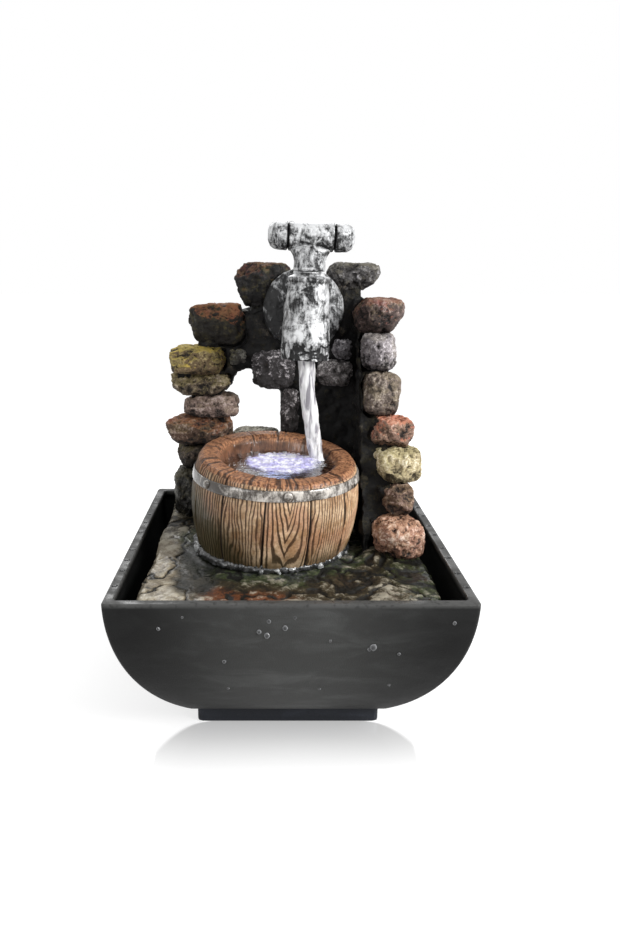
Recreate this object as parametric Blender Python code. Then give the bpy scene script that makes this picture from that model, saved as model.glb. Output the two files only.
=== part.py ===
"""Tabletop fountain: a tap pours into a barrel, in a stacked-stone wall that lifts out of a square bowl.

Metres, +Z up. The origin is the middle of the foot's underside, +X to the viewer's right, +Y to the back.
"""

import math

import bmesh
import bpy
from mathutils import Matrix, Vector

# Clearances that several pieces share
SEAT_GAP = 0.0003  # between a piece and what it rests on
RUNNING_GAP = 0.0003  # between a turning or sliding piece and its guide
CUT_OVERRUN = 0.004  # how far a cutter stands past the face it cuts

# Bowl and foot
BOWL_WIDTH = 0.175
BOWL_HEIGHT = 0.080
BOWL_FLARE = 0.0355  # how far each side swings out between the floor and the rim
BOWL_WALL = 0.003
BOWL_CORNER = 0.0022
RIM_WIDTH = 0.005
RIM_DEPTH = 0.004
FOOT_HEIGHT = 0.0097
FOOT_INSET = 0.003
FOOT_CORNER = 0.002
FOOT_WALL = 0.006
FOOT_RECESS = 0.0055  # depth of the hollow under the foot
BOWL_LEVELS = 9

# Ground plate that carries the rockwork
DECK_THICKNESS = 0.006
DECK_DROP = 0.007  # the plate's top below the rim
DECK_CLEARANCE = 0.0015  # plate to rim, front and back
DRAIN_GAP = 0.007  # plate to rim, left and right, where the water falls back
DECK_RIPPLE = 0.0016
DECK_EDGE_POINTS = 9
LEDGE_WIDTH = 0.022
LEDGE_REACH = 0.0085  # how far a ledge stands in from the bowl's wall
LEDGE_DROP = 0.011
LEDGE_BITE = 0.0015
LEDGE_PLACE_SHARE = 0.62

# Where the cord leaves over the back rim
CORD_NOTCH_X = -0.030
CORD_NOTCH_WIDTH = 0.007
CORD_NOTCH_DEPTH = 0.009
CORD_HOLE_RADIUS = 0.0018

# Wall of stones
WALL_ABOVE_TAP = 0.027  # the wall's top above the tap's axis
WALL_THICKNESS = 0.034
WALL_SETBACK = 0.004  # wall's back face to the plate's back edge
WALL_OVERHANG = 0.002
CORE_THICKNESS = 0.0225
CORE_SETBACK = 0.0015
STONE_SIDES = 12
STONE_BUMP_SHARE = 0.045
STONE_LEVEL_SHARES = (-1.0, -0.86, -0.5, 0.0, 0.5, 0.86, 1.0)
STONE_FLAT_SHARE = 0.74
STONE_SQUARENESS = 2.7
PEBBLE_STAND = 0.009  # how far the small front stones stand off the core
WING_TO_BARREL = 0.003

# Barrel
BARREL_X = -0.0090
BARREL_WALL_GAP = 0.001
BARREL_HEIGHT = 0.0535
BARREL_BULGE_RADIUS = 0.0470
BARREL_RIM_RADIUS = 0.0432
BARREL_FOOT_RADIUS = 0.0420
BULGE_HEIGHT_SHARE = 0.56
BARREL_TILT = math.radians(5.6)
BARREL_LEAN = math.radians(3.8)
BARREL_WALL = 0.006
BARREL_FLOOR = 0.005
STAVES = 12
STAVE_GROOVE = 0.0008
BASIN_DEPTH = 0.022
BASIN_MOUTH_RADIUS = 0.0375
BASIN_FLOOR_RADIUS = 0.022
RIM_ROUND = 0.002
HOOP_WIDTH = 0.0055
HOOP_THICKNESS = 0.0013
HOOP_BELOW_RIM = 0.0022
RIVETS = 6
RIVET_RADIUS = 0.0024
RIVET_RISE = 0.0012
RIVET_FIRST_ANGLE = math.radians(-83.0)
FOOT_RING_HEIGHT = 0.0045
FOOT_RING_WIDTH = 0.0034
LEAD_HOLE_RADIUS = 0.004

# Lamp in the barrel's floor
LAMP_RADIUS = 0.0115
LAMP_HEIGHT = 0.0072
LAMP_WALL = 0.0015
LAMP_BASE = 0.0022
LAMP_STEM_RADIUS = 0.005
LAMP_SEAL_THICKNESS = 0.0009
LAMP_NUT_RADIUS = 0.0085
LAMP_NUT_THICKNESS = 0.003
LAMP_BOARD_THICKNESS = 0.001
LAMP_LEAD_RADIUS = 0.0016
LED_RADIUS = 0.0014
LED_COUNT = 3
LENS_RISE = 0.0012

# Water path: pump outlet, riser tube, hose elbow, tap
TUBE_RADIUS = 0.0045
TUBE_BORE_RADIUS = 0.0033
SPIGOT_RADIUS = 0.0030
SPIGOT_BORE_RADIUS = 0.0020
SPIGOT_LENGTH = 0.0115
ELBOW_BEND = 0.006
CHANNEL_CLEARANCE = 0.001
CORE_SKIN = 0.0025  # core left in front of the tube's channel
COVER_HALF_WIDTH = 0.0125
COVER_THICKNESS = 0.003
COVER_END_MARGIN = 0.007
SCREW_OFFSET = 0.0092
SCREW_END_MARGIN = 0.006
SCREW_HEAD_RADIUS = 0.0026
SCREW_HEAD_RISE = 0.0014
SCREW_RADIUS = 0.0013
SCREW_LENGTH = 0.009

# Tap
TAP_X = 0.0103
TAP_HEIGHT = 0.131  # pipe axis above the ground plate
TAP_REACH = 0.045
TAP_LEAN = math.radians(2.4)
FLANGE_RADIUS = 0.0242
FLANGE_EDGE = 0.0028
FLANGE_DOME = 0.0075
PIPE_RADIUS = 0.0120
SPOUT_RADIUS = 0.0133
SPOUT_BORE_RADIUS = 0.0085
SPOUT_DROP = 0.0240  # pipe axis to the spout's mouth
SPOUT_BEND = 0.0142
TAIL_RADIUS = 0.0062
COLLAR_RADIUS = 0.0113
COLLAR_TOP = 0.0222  # collar's top above the pipe axis
COLLAR_FOOT = -0.0045  # the collar's lower end, which the pipe cuts to a saddle
COLLAR_RING = 0.0028
NECK_RADIUS = 0.0084
NECK_RISE = 0.0100
NECK_FLARE = 0.0026
SPINDLE_RADIUS = 0.0030
SPINDLE_DEPTH = 0.009
BAR_HALF_LENGTH = 0.0228
BAR_RADIUS = 0.0074
BAR_GROOVE_AT = 0.0122
BAR_GROOVE = 0.0006
BAR_GROOVE_WIDTH = 0.0011

# Pump
CUP_HEIGHT = 0.008
CUP_RADIUS = 0.0055
CUP_NECK_RADIUS = 0.0018
CUP_BUTTON_RADIUS = 0.0028
CUP_INSET = 0.0065
PUMP_HEIGHT = 0.030
PUMP_DEPTH = 0.028
PUMP_EDGE = 0.0015
PUMP_BACK_TO_TUBE = 0.0065
MOTOR_LENGTH = 0.028
VOLUTE_LENGTH = 0.0115
VOLUTE_RADIUS = 0.0115
VOLUTE_BACK = 0.002
WELL_RADIUS = 0.0064
WELL_LENGTH = 0.025
OUTLET_RISE = 0.008  # outlet above the rotor's axis
SHAFT_RADIUS = 0.0010
SHAFT_SOCKET = 0.0025
ROTOR_RADIUS = 0.0056
IMPELLER_RADIUS = 0.0095
IMPELLER_DISC = 0.0012
BLADE_COUNT = 5
BLADE_HEIGHT = 0.0055
BLADE_THICKNESS = 0.0011
HUB_RADIUS = 0.0028
PUMP_COVER_THICKNESS = 0.003
INTAKE_HOLE_RADIUS = 0.0017
INTAKE_HOLE_CIRCLE = 0.0055
INTAKE_HOLES = 6
STRAINER_DEPTH = 0.0085
STRAINER_WALL = 0.0015
SLOT_COUNT = 6
SLOT_WIDTH = 0.0018
SLOT_LENGTH = 0.011
GATE_TRAVEL = 0.007
GATE_LENGTH = 0.008
GATE_WIDTH = 0.007
GATE_THICKNESS = 0.0013
GATE_NECK = 0.002
GATE_HEAD = 0.0045
GATE_HEAD_THICKNESS = 0.001
WINDOW_LENGTH = 0.0055
WINDOW_WIDTH = 0.005
GLAND_RADIUS = 0.0034
GLAND_LENGTH = 0.007

# Places worked out from the sizes above
BOWL_BASE_Z = FOOT_HEIGHT + SEAT_GAP
BOWL_FLOOR_Z = BOWL_BASE_Z + BOWL_WALL
RIM_Z = BOWL_BASE_Z + BOWL_HEIGHT
RIM_INSIDE = BOWL_WIDTH / 2 - RIM_WIDTH
DECK_TOP_Z = RIM_Z - DECK_DROP
DECK_BOTTOM_Z = DECK_TOP_Z - DECK_THICKNESS
DECK_HALF_X = RIM_INSIDE - DRAIN_GAP
DECK_HALF_Y = RIM_INSIDE - DECK_CLEARANCE
WALL_BACK_Y = DECK_HALF_Y - WALL_SETBACK
CORE_BACK_Y = WALL_BACK_Y - CORE_SETBACK
CORE_FRONT_Y = CORE_BACK_Y - CORE_THICKNESS
WALL_HALF_WIDTH = DECK_HALF_X + WALL_OVERHANG
TUBE_Y = CORE_FRONT_Y + CORE_SKIN + CHANNEL_CLEARANCE + TUBE_RADIUS
TAP_Z = DECK_TOP_Z + TAP_HEIGHT
WALL_HEIGHT = TAP_HEIGHT + WALL_ABOVE_TAP
FLANGE_FOOT = TAP_HEIGHT - FLANGE_RADIUS
BARREL_SIDES = (BARREL_X - BARREL_BULGE_RADIUS, BARREL_X + BARREL_BULGE_RADIUS)
BARREL_Y = CORE_FRONT_Y - BARREL_WALL_GAP - BARREL_BULGE_RADIUS
BASIN_FLOOR_Z = BARREL_HEIGHT - BASIN_DEPTH
PUMP_BOTTOM_Z = BOWL_FLOOR_Z + SEAT_GAP + CUP_HEIGHT + SEAT_GAP
PUMP_BACK_Y = TUBE_Y - PUMP_BACK_TO_TUBE
PUMP_MID_Y = PUMP_BACK_Y - PUMP_DEPTH / 2
PUMP_AXIS_Z = PUMP_BOTTOM_Z + PUMP_HEIGHT / 2
OUTLET_Z = PUMP_AXIS_Z + OUTLET_RISE
VOLUTE_MOUTH_X = TAP_X + VOLUTE_LENGTH / 2
VOLUTE_FLOOR_X = VOLUTE_MOUTH_X - VOLUTE_LENGTH + VOLUTE_BACK
MOTOR_END_X = VOLUTE_MOUTH_X - VOLUTE_LENGTH - MOTOR_LENGTH
WELL_END_X = VOLUTE_FLOOR_X - WELL_LENGTH
COVER_FACE_X = VOLUTE_MOUTH_X + SEAT_GAP + PUMP_COVER_THICKNESS
STRAINER_FACE_X = COVER_FACE_X + SEAT_GAP + STRAINER_DEPTH

# Where the barrel's two sides and the tap flange's lower edge come among the shares below
BARREL_SIDE_SHARES = (-0.7226, 0.4903)
FLANGE_FOOT_SHARE = 0.676

# The wall's stones. Sideways and up they are shares of the wall's half width and height, which keep their
# place beside the barrel and the flange. Forward is counted from the wall's back face, in wall thicknesses.
# The last share widens the top or the foot.
# name: (middle, half width, back, front, foot, top, widening)
STONE_SHARES = {
    "stone_left_1": (-0.806, 0.128, 0.06, 1.04, 0.0, 0.196, -0.10),
    "stone_left_2": (-0.745, 0.155, 0.02, 0.92, 0.196, 0.298, 0.16),
    "stone_left_3": (-0.700, 0.275, 0.05, 1.02, 0.298, 0.413, 0.10),
    "stone_left_4": (-0.604, 0.230, 0.08, 0.96, 0.413, 0.500, -0.06),
    "stone_left_5": (-0.684, 0.246, 0.13, 1.00, 0.500, 0.583, 0.10),
    "stone_left_6": (-0.702, 0.230, 0.13, 1.02, 0.583, 0.690, -0.04),
    "stone_left_7": (-0.540, 0.232, 0.13, 0.96, 0.690, 0.850, 0.20),
    "stone_top_left": (-0.181, 0.226, 0.16, 0.695, 0.829, 1.0, 0.26),
    "stone_top_right": (0.520, 0.221, 0.16, 0.80, 0.896, 1.0, 0.22),
    "stone_right_1": (0.798, 0.194, 2.18, 3.06, 0.0, 0.138, -0.04),
    "stone_right_2": (0.803, 0.128, 1.85, 2.71, 0.138, 0.240, -0.06),
    "stone_right_3": (0.815, 0.181, 1.62, 2.50, 0.240, 0.362, 0.10),
    "stone_right_4": (0.777, 0.160, 1.38, 2.26, 0.362, 0.463, -0.04),
    "stone_right_5": (0.708, 0.150, 1.03, 1.97, 0.463, 0.613, -0.05),
    "stone_right_6": (0.698, 0.141, 0.68, 1.68, 0.613, 0.746, 0.05),
    "stone_right_7": (0.714, 0.200, 0.32, 1.32, 0.746, 0.873, 0.04),
    "stone_sill_foot": (-0.250, 0.200, 0.10, 0.70, 0.0, 0.262, -0.08),
    "stone_sill": (-0.245, 0.200, 0.12, 0.72, 0.262, 0.352, 0.06),
}

# Stones bedded on the core's front face: middle, half width, foot, top and stand, as shares of the same sizes
PEBBLE_SHARES = {
    "pebble_centre": (-0.097, 0.174, 0.532, 0.676, 0.90),
    "pebble_post": (0.035, 0.081, 0.360, 0.526, 0.75),
    "pebble_low_right": (0.380, 0.145, 0.544, 0.640, 1.00),
    "pebble_high_right": (0.436, 0.082, 0.646, 0.716, 0.90),
    "pebble_left": (-0.376, 0.068, 0.626, 0.678, 0.60),
}

# Outline of the dark core behind the stones, in the same shares, anticlockwise from its left foot
CORE_OUTLINE_SHARES = (
    (-0.040, 0.0),
    (0.670, 0.0),
    (0.670, 0.860),
    (0.330, 0.893),
    (0.300, 0.966),
    (0.000, 0.966),
    (-0.120, 0.920),
    (-0.190, 0.845),
    (-0.400, 0.815),
    (-0.600, 0.682),
    (-0.640, 0.510),
    (-0.470, 0.520),
    (-0.390, 0.575),
    (-0.300, 0.592),
    (-0.200, 0.570),
    (-0.100, 0.540),
    (-0.040, 0.500),
)

# Side outline of the core's right wing: forward in wall thicknesses from the wall's back, and up in heights
WING_SIDE_SHARE = 0.720
WING_OUTLINE_SHARES = (
    (2.72, 0.0),
    (2.72, 0.080),
    (2.40, 0.170),
    (2.16, 0.300),
    (1.92, 0.410),
    (1.60, 0.540),
    (1.22, 0.680),
    (0.95, 0.800),
    (0.0, 0.840),
    (0.0, 0.0),
)

CORE_POCKETS = (
    "stone_left_5",
    "stone_left_6",
    "stone_left_7",
    "stone_top_left",
    "stone_top_right",
    "stone_right_6",
    "stone_right_7",
)
WING_POCKETS = (
    "stone_right_1",
    "stone_right_2",
    "stone_right_3",
    "stone_right_4",
    "stone_right_5",
    "stone_right_6",
    "stone_right_7",
)

# Sides of round pieces, from large to small
ROUND = 24
FINE = 16
SMALL = 10


def clear_scene():
    """Empties the scene, so that the part stands alone."""
    for thing in list(bpy.data.objects):
        bpy.data.objects.remove(thing)


def material(name, colour, roughness, metallic=0.0):
    """A plain Principled material, made once and shared."""
    found = bpy.data.materials.get(name)
    if found:
        return found
    made = bpy.data.materials.new(name)
    made.use_nodes = True
    shader = made.node_tree.nodes["Principled BSDF"]
    shader.inputs["Base Color"].default_value = (*colour, 1.0)
    shader.inputs["Roughness"].default_value = roughness
    shader.inputs["Metallic"].default_value = metallic
    return made


def black_plastic():
    """Satin black of the bowl."""
    return material("bowl_black", (0.045, 0.048, 0.050), 0.45)


def foot_plastic():
    """Slightly bluer black of the foot."""
    return material("foot_black", (0.030, 0.033, 0.038), 0.5)


def pump_plastic():
    """Black of the pump's mouldings."""
    return material("pump_black", (0.020, 0.020, 0.022), 0.4)


def resin_dark():
    """Dark stained resin of the core."""
    return material("core_dark", (0.035, 0.033, 0.030), 0.6)


def resin_stone():
    """Washed brown of the cast stones."""
    return material("stone_brown", (0.20, 0.14, 0.11), 0.7)


def resin_ground():
    """Grey-brown wet ground."""
    return material("ground_wet", (0.20, 0.18, 0.14), 0.3)


def resin_wood():
    """Painted wood of the barrel."""
    return material("barrel_wood", (0.42, 0.25, 0.13), 0.45)


def aged_silver():
    """Aged silver paint of the tap and hoops."""
    return material("aged_silver", (0.48, 0.48, 0.48), 0.35, 0.7)


def soft_rubber():
    """Dark rubber."""
    return material("rubber", (0.03, 0.03, 0.03), 0.8)


def clear_plastic():
    """Clear tube and lens."""
    return material("clear_plastic", (0.80, 0.85, 0.88), 0.12)


def mesh_object(name, points, faces, look, parent=None, hidden=False, split=False):
    """Makes a named object of a closed mesh, with its normals out and its sharp edges kept.

    A split mesh has its faces cut to triangles in one fixed way, so that a piece and its pocket match.
    """
    mesh = bpy.data.meshes.new(name)
    mesh.from_pydata([tuple(p) for p in points], [], faces)
    work = bmesh.new()
    work.from_mesh(mesh)
    bmesh.ops.recalc_face_normals(work, faces=work.faces)
    if split:
        bmesh.ops.triangulate(work, faces=work.faces, quad_method="FIXED")
    work.to_mesh(mesh)
    work.free()
    mesh.shade_smooth()
    mesh.set_sharp_from_angle(angle=math.radians(35))
    made = bpy.data.objects.new(name, mesh)
    bpy.context.scene.collection.objects.link(made)
    made.parent = parent
    if look:
        mesh.materials.append(look)
    if hidden:
        made.hide_render = True
        made.display_type = "WIRE"
    return made


def frame(name, place, turn=Matrix.Identity(3)):
    """An empty that carries pieces at a place and a turn."""
    made = bpy.data.objects.new(name, None)
    made.matrix_world = Matrix.Translation(place) @ turn.to_4x4()
    bpy.context.scene.collection.objects.link(made)
    return made


def loft(rings, ring_closed=False):
    """Points and faces of a skin through equal rings, capped at both ends or joined end to end."""
    count = len(rings[0])
    points = [p for ring in rings for p in ring]
    faces = []
    steps = len(rings) if ring_closed else len(rings) - 1
    for level in range(steps):
        low = level * count
        high = ((level + 1) % len(rings)) * count
        for k in range(count):
            after = (k + 1) % count
            faces.append((low + k, low + after, high + after, high + k))
    if not ring_closed:
        faces.append(tuple(range(count)))
        faces.append(tuple(range(len(points) - count, len(points))))
    return points, faces


def circle(radius, along, count, axis="Z", centre=(0.0, 0.0)):
    """A ring of points round an axis, at a place along it."""
    ring = []
    for k in range(count):
        angle = 2 * math.pi * k / count
        across = centre[0] + radius * math.cos(angle)
        up = centre[1] + radius * math.sin(angle)
        if axis == "Z":
            ring.append(Vector((across, up, along)))
        elif axis == "Y":
            ring.append(Vector((across, along, up)))
        else:
            ring.append(Vector((along, across, up)))
    return ring


def turned(name, profile, look, count=ROUND, axis="Z", centre=(0.0, 0.0), bored=False, **more):
    """A turned piece from (radius, place along the axis) pairs. A bored piece's profile goes all the way round."""
    rings = [circle(radius, along, count, axis, centre) for radius, along in profile]
    return mesh_object(name, *loft(rings, bored), look, **more)


def box(name, low, high, look=None, **more):
    """A block between two corners."""
    ring = [(low[0], low[1]), (high[0], low[1]), (high[0], high[1]), (low[0], high[1])]
    rings = [[Vector((x, y, z)) for x, y in ring] for z in (low[2], high[2])]
    return mesh_object(name, *loft(rings), look, **more)


def prism(name, outline, low, high, look, axis="Y", **more):
    """An outline carried straight along Y (outline in X, Z) or along X (outline in Y, Z)."""
    if axis == "Y":
        rings = [[Vector((a, along, b)) for a, b in outline] for along in (low, high)]
    else:
        rings = [[Vector((along, a, b)) for a, b in outline] for along in (low, high)]
    return mesh_object(name, *loft(rings), look, **more)


def pipe(name, path, sections, look, count=FINE, parent=None, hidden=False, bored=True):
    """A tube on a path in the Y-Z plane. Each section is (index of the path point, outer radius, bore radius)."""
    sideways = Vector((1, 0, 0))
    outer = []
    inner = []
    for index, radius, bore in sections:
        before = path[max(index - 1, 0)]
        after = path[min(index + 1, len(path) - 1)]
        ahead = (after - before).normalized()
        up = ahead.cross(sideways)
        for ring_list, size in ((outer, radius), (inner, bore)):
            ring = []
            for k in range(count):
                angle = 2 * math.pi * k / count
                ring.append(path[index] + sideways * size * math.cos(angle) + up * size * math.sin(angle))
            ring_list.append(ring)
    rings = outer + inner[::-1] if bored else outer
    return mesh_object(name, *loft(rings, bored), look, parent=parent, hidden=hidden)


def elbow_path(start, corner, end, bend, steps=6):
    """Straight, quarter bend, straight: the corner is rounded with the bend's radius."""
    into = (start - corner).normalized()
    out = (end - corner).normalized()
    centre = corner + (into + out) * bend
    points = [start]
    for k in range(steps + 1):
        angle = math.pi / 2 * k / steps
        points.append(centre - out * bend * math.cos(angle) - into * bend * math.sin(angle))
    points.append(end)
    return points


def boolean(target, other, operation="DIFFERENCE"):
    """Adds an exact Boolean modifier."""
    step = target.modifiers.new(other.name, "BOOLEAN")
    step.operation = operation
    step.solver = "EXACT"
    step.object = other


def bevel(target, width, segments=1):
    """Rounds a piece's sharp edges."""
    step = target.modifiers.new("Edges", "BEVEL")
    step.width = width
    step.segments = segments
    step.limit_method = "ANGLE"
    step.angle_limit = math.radians(50)


def rounded_square(half_x, half_y, corner, z):
    """A square ring of twelve points, three to a corner."""
    ring = []
    for quarter in range(4):
        sign_x = 1 if quarter in (0, 3) else -1
        sign_y = 1 if quarter in (0, 1) else -1
        for step in range(3):
            angle = math.pi / 2 * (quarter + step / 2)
            x = sign_x * (half_x - corner) + corner * math.cos(angle)
            y = sign_y * (half_y - corner) + corner * math.sin(angle)
            ring.append(Vector((x, y, z)))
    return ring


def bowl_half(z):
    """Half the bowl's outer width at a height: an arc that stands upright at the rim."""
    radius = (BOWL_FLARE**2 + BOWL_HEIGHT**2) / (2 * BOWL_FLARE)
    return BOWL_WIDTH / 2 - radius + math.sqrt(radius**2 - (RIM_Z - z) ** 2)


def build_bowl():
    """The bowl's shell with its four ledges and its cord notch, and its foot, which is hollow underneath."""
    under_rim = RIM_Z - RIM_DEPTH
    lip_root = under_rim - RIM_DEPTH / 2
    rings = []
    for k in range(BOWL_LEVELS):
        z = BOWL_BASE_Z + BOWL_HEIGHT * k / (BOWL_LEVELS - 1)
        rings.append(rounded_square(bowl_half(z), bowl_half(z), BOWL_CORNER, z))
    for z in (RIM_Z, under_rim):
        rings.append(rounded_square(RIM_INSIDE, RIM_INSIDE, BOWL_CORNER, z))
    for k in range(BOWL_LEVELS - 1):
        z = lip_root + (BOWL_FLOOR_Z - lip_root) * k / (BOWL_LEVELS - 2)
        inside = bowl_half(z) - BOWL_WALL
        rings.append(rounded_square(inside, inside, BOWL_CORNER, z))
    bowl = mesh_object("bowl", *loft(rings), black_plastic())
    top = DECK_BOTTOM_Z - SEAT_GAP
    low = top - LEDGE_DROP
    for side in (-1, 1):
        for end in (-1, 1):
            outline = [
                (end * (bowl_half(top) - BOWL_WALL - LEDGE_REACH), top),
                (end * (bowl_half(top) - BOWL_WALL + LEDGE_BITE), top),
                (end * (bowl_half(low) - BOWL_WALL + LEDGE_BITE), low),
                (end * (bowl_half(low) - BOWL_WALL), low),
            ]
            middle = side * DECK_HALF_X * LEDGE_PLACE_SHARE
            ledge = prism(
                f"ledge_guide_{side}_{end}",
                outline,
                middle - LEDGE_WIDTH / 2,
                middle + LEDGE_WIDTH / 2,
                None,
                axis="X",
                hidden=True,
            )
            boolean(bowl, ledge, "UNION")
    notch_low = RIM_Z - CORD_NOTCH_DEPTH
    half = CORD_NOTCH_WIDTH / 2
    notch = box(
        "cord_notch_guide",
        (CORD_NOTCH_X - half, RIM_INSIDE - CUT_OVERRUN, notch_low),
        (CORD_NOTCH_X + half, BOWL_WIDTH / 2 + CUT_OVERRUN, RIM_Z + CUT_OVERRUN),
        hidden=True,
    )
    boolean(bowl, notch)
    foot_half = BOWL_WIDTH / 2 - BOWL_FLARE - FOOT_INSET
    foot_rings = [
        rounded_square(foot_half - FOOT_CORNER / 2, foot_half - FOOT_CORNER / 2, FOOT_CORNER, 0.0),
        rounded_square(foot_half, foot_half, FOOT_CORNER, FOOT_CORNER / 2),
        rounded_square(foot_half, foot_half, FOOT_CORNER, FOOT_HEIGHT),
    ]
    foot = mesh_object("bowl_foot", *loft(foot_rings), foot_plastic())
    inside = foot_half - FOOT_WALL
    recess = box(
        "foot_recess_guide",
        (-inside, -inside, -CUT_OVERRUN),
        (inside, inside, FOOT_RECESS),
        hidden=True,
    )
    boolean(foot, recess)


def build_grommet():
    """The rubber bung in the back rim's notch, with the cord's hole."""
    half = CORD_NOTCH_WIDTH / 2 - SEAT_GAP
    low = RIM_Z - CORD_NOTCH_DEPTH + SEAT_GAP
    grommet = box(
        "cord_grommet",
        (CORD_NOTCH_X - half, RIM_INSIDE, low),
        (CORD_NOTCH_X + half, BOWL_WIDTH / 2 - SEAT_GAP, RIM_Z),
        soft_rubber(),
    )
    hole = turned(
        "cord_hole_guide",
        [(CORD_HOLE_RADIUS, RIM_INSIDE - CUT_OVERRUN), (CORD_HOLE_RADIUS, BOWL_WIDTH / 2 + CUT_OVERRUN)],
        None,
        SMALL,
        "Y",
        (CORD_NOTCH_X, RIM_Z - CORD_NOTCH_DEPTH / 2),
        hidden=True,
    )
    boolean(grommet, hole)


def deck_outline():
    """The ground plate's outline: straight front and back, rippled sides that leave the drain gaps."""
    outline = []
    for side in (1, -1):
        for k in range(DECK_EDGE_POINTS):
            along = k / (DECK_EDGE_POINTS - 1)
            y = side * DECK_HALF_Y * (2 * along - 1)
            ripple = DECK_RIPPLE * (0.5 + 0.5 * math.sin(2 * math.pi * 2.3 * along + side))
            outline.append((side * (DECK_HALF_X - ripple), y))
    return outline


def build_deck():
    """The cast ground plate, with its holes for the tube and the lamp's lead and its cord notch."""
    rings = [[Vector((x, y, z)) for x, y in deck_outline()] for z in (DECK_BOTTOM_Z, DECK_TOP_Z)]
    deck = mesh_object("ground_plate", *loft(rings), resin_ground())
    span = [DECK_BOTTOM_Z - CUT_OVERRUN, DECK_TOP_Z + CUT_OVERRUN]
    holes = (
        ("tube_hole_guide", TUBE_RADIUS + CHANNEL_CLEARANCE, (TAP_X, TUBE_Y)),
        ("lead_hole_guide", LEAD_HOLE_RADIUS, (BARREL_X, BARREL_Y)),
    )
    for name, radius, centre in holes:
        cutter = turned(name, [(radius, z) for z in span], None, FINE, "Z", centre, hidden=True)
        boolean(deck, cutter)
    half = CORD_NOTCH_WIDTH / 2
    notch = box(
        "deck_notch_guide",
        (CORD_NOTCH_X - half, DECK_HALF_Y - WALL_SETBACK, span[0]),
        (CORD_NOTCH_X + half, DECK_HALF_Y + CUT_OVERRUN, span[1]),
        hidden=True,
    )
    boolean(deck, notch)


def wall_x(share):
    """A place across the wall: beside the barrel it follows the barrel, and outside it the room that is left."""
    left, right = BARREL_SIDE_SHARES
    if share < left:
        return -WALL_HALF_WIDTH + (BARREL_SIDES[0] + WALL_HALF_WIDTH) * (share + 1) / (left + 1)
    if share > right:
        return WALL_HALF_WIDTH - (WALL_HALF_WIDTH - BARREL_SIDES[1]) * (1 - share) / (1 - right)
    return BARREL_SIDES[0] + (BARREL_SIDES[1] - BARREL_SIDES[0]) * (share - left) / (right - left)


def wall_z(share):
    """A height in the wall above the ground: it follows the flange's lower edge, below it and above it."""
    if share < FLANGE_FOOT_SHARE:
        return FLANGE_FOOT * share / FLANGE_FOOT_SHARE
    return WALL_HEIGHT - (WALL_HEIGHT - FLANGE_FOOT) * (1 - share) / (1 - FLANGE_FOOT_SHARE)


def lump_rings(low, high, widening, phase):
    """Rings of a rounded, slightly uneven block that fills the box between two corners, flat at both ends."""
    rings = []
    for level in STONE_LEVEL_SHARES:
        belly = (1 - abs(level) ** STONE_SQUARENESS) ** (1 / STONE_SQUARENESS)
        reach = (STONE_FLAT_SHARE + (1 - STONE_FLAT_SHARE) * belly) * (1 + widening * level)
        ring = []
        for k in range(STONE_SIDES):
            angle = 2 * math.pi * (k + 0.5) / STONE_SIDES
            across, along = math.cos(angle), math.sin(angle)
            square = (abs(across) ** STONE_SQUARENESS + abs(along) ** STONE_SQUARENESS) ** (-1 / STONE_SQUARENESS)
            bump = math.sin(2 * angle + phase + level) + math.sin(5 * angle + 2.3 * phase + 2 * level)
            size = reach * square * (1 + STONE_BUMP_SHARE * bump)
            ring.append(Vector((size * across, size * along, level)))
        rings.append(ring)
    for axis in range(3):
        least = min(point[axis] for ring in rings for point in ring)
        most = max(point[axis] for ring in rings for point in ring)
        for ring in rings:
            for point in ring:
                share = (point[axis] - least) / (most - least)
                point[axis] = low[axis] + (high[axis] - low[axis]) * share
    return rings


def stone_corners(name):
    """A stone's lowest and highest corner, with half the seat gap left above and below."""
    middle, half_width, back, front, foot, top, _ = STONE_SHARES[name]
    base = DECK_TOP_Z + SEAT_GAP / 2
    low = (
        wall_x(middle - half_width),
        WALL_BACK_Y - WALL_THICKNESS * front,
        base + wall_z(foot) + SEAT_GAP / 2,
    )
    high = (
        wall_x(middle + half_width),
        WALL_BACK_Y - WALL_THICKNESS * back,
        base + wall_z(top) - SEAT_GAP / 2,
    )
    return low, high


def stone_object(name, index, grow=0.0):
    """One stone of the wall, or its slightly larger pocket cutter."""
    low, high = stone_corners(name)
    low = [value - grow for value in low]
    high = [value + grow for value in high]
    rings = lump_rings(low, high, STONE_SHARES[name][-1], 1.7 * index)
    if grow:
        return mesh_object(name + "_pocket", *loft(rings), None, hidden=True, split=True)
    return mesh_object(name, *loft(rings), resin_stone(), split=True)


def build_stones():
    """The stacked stones and the pebbles bedded on the core's face. Returns the pocket cutters by name."""
    cutters = {}
    for index, name in enumerate(STONE_SHARES):
        stone_object(name, index)
        if name in CORE_POCKETS + WING_POCKETS:
            cutters[name] = stone_object(name, index, SEAT_GAP)
    for index, name in enumerate(PEBBLE_SHARES):
        middle, half_width, foot, top, stand = PEBBLE_SHARES[name]
        back = CORE_FRONT_Y - SEAT_GAP
        reach = PEBBLE_STAND * stand
        low = (wall_x(middle - half_width), back - reach, DECK_TOP_Z + wall_z(foot))
        high = (wall_x(middle + half_width), back + reach, DECK_TOP_Z + wall_z(top))
        rings = lump_rings(low, high, 0.0, 2.1 * index + 1)
        for ring in rings:
            for point in ring:
                point.y = min(point.y, back)
        mesh_object(name, *loft(rings), resin_stone())
    return cutters


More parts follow.
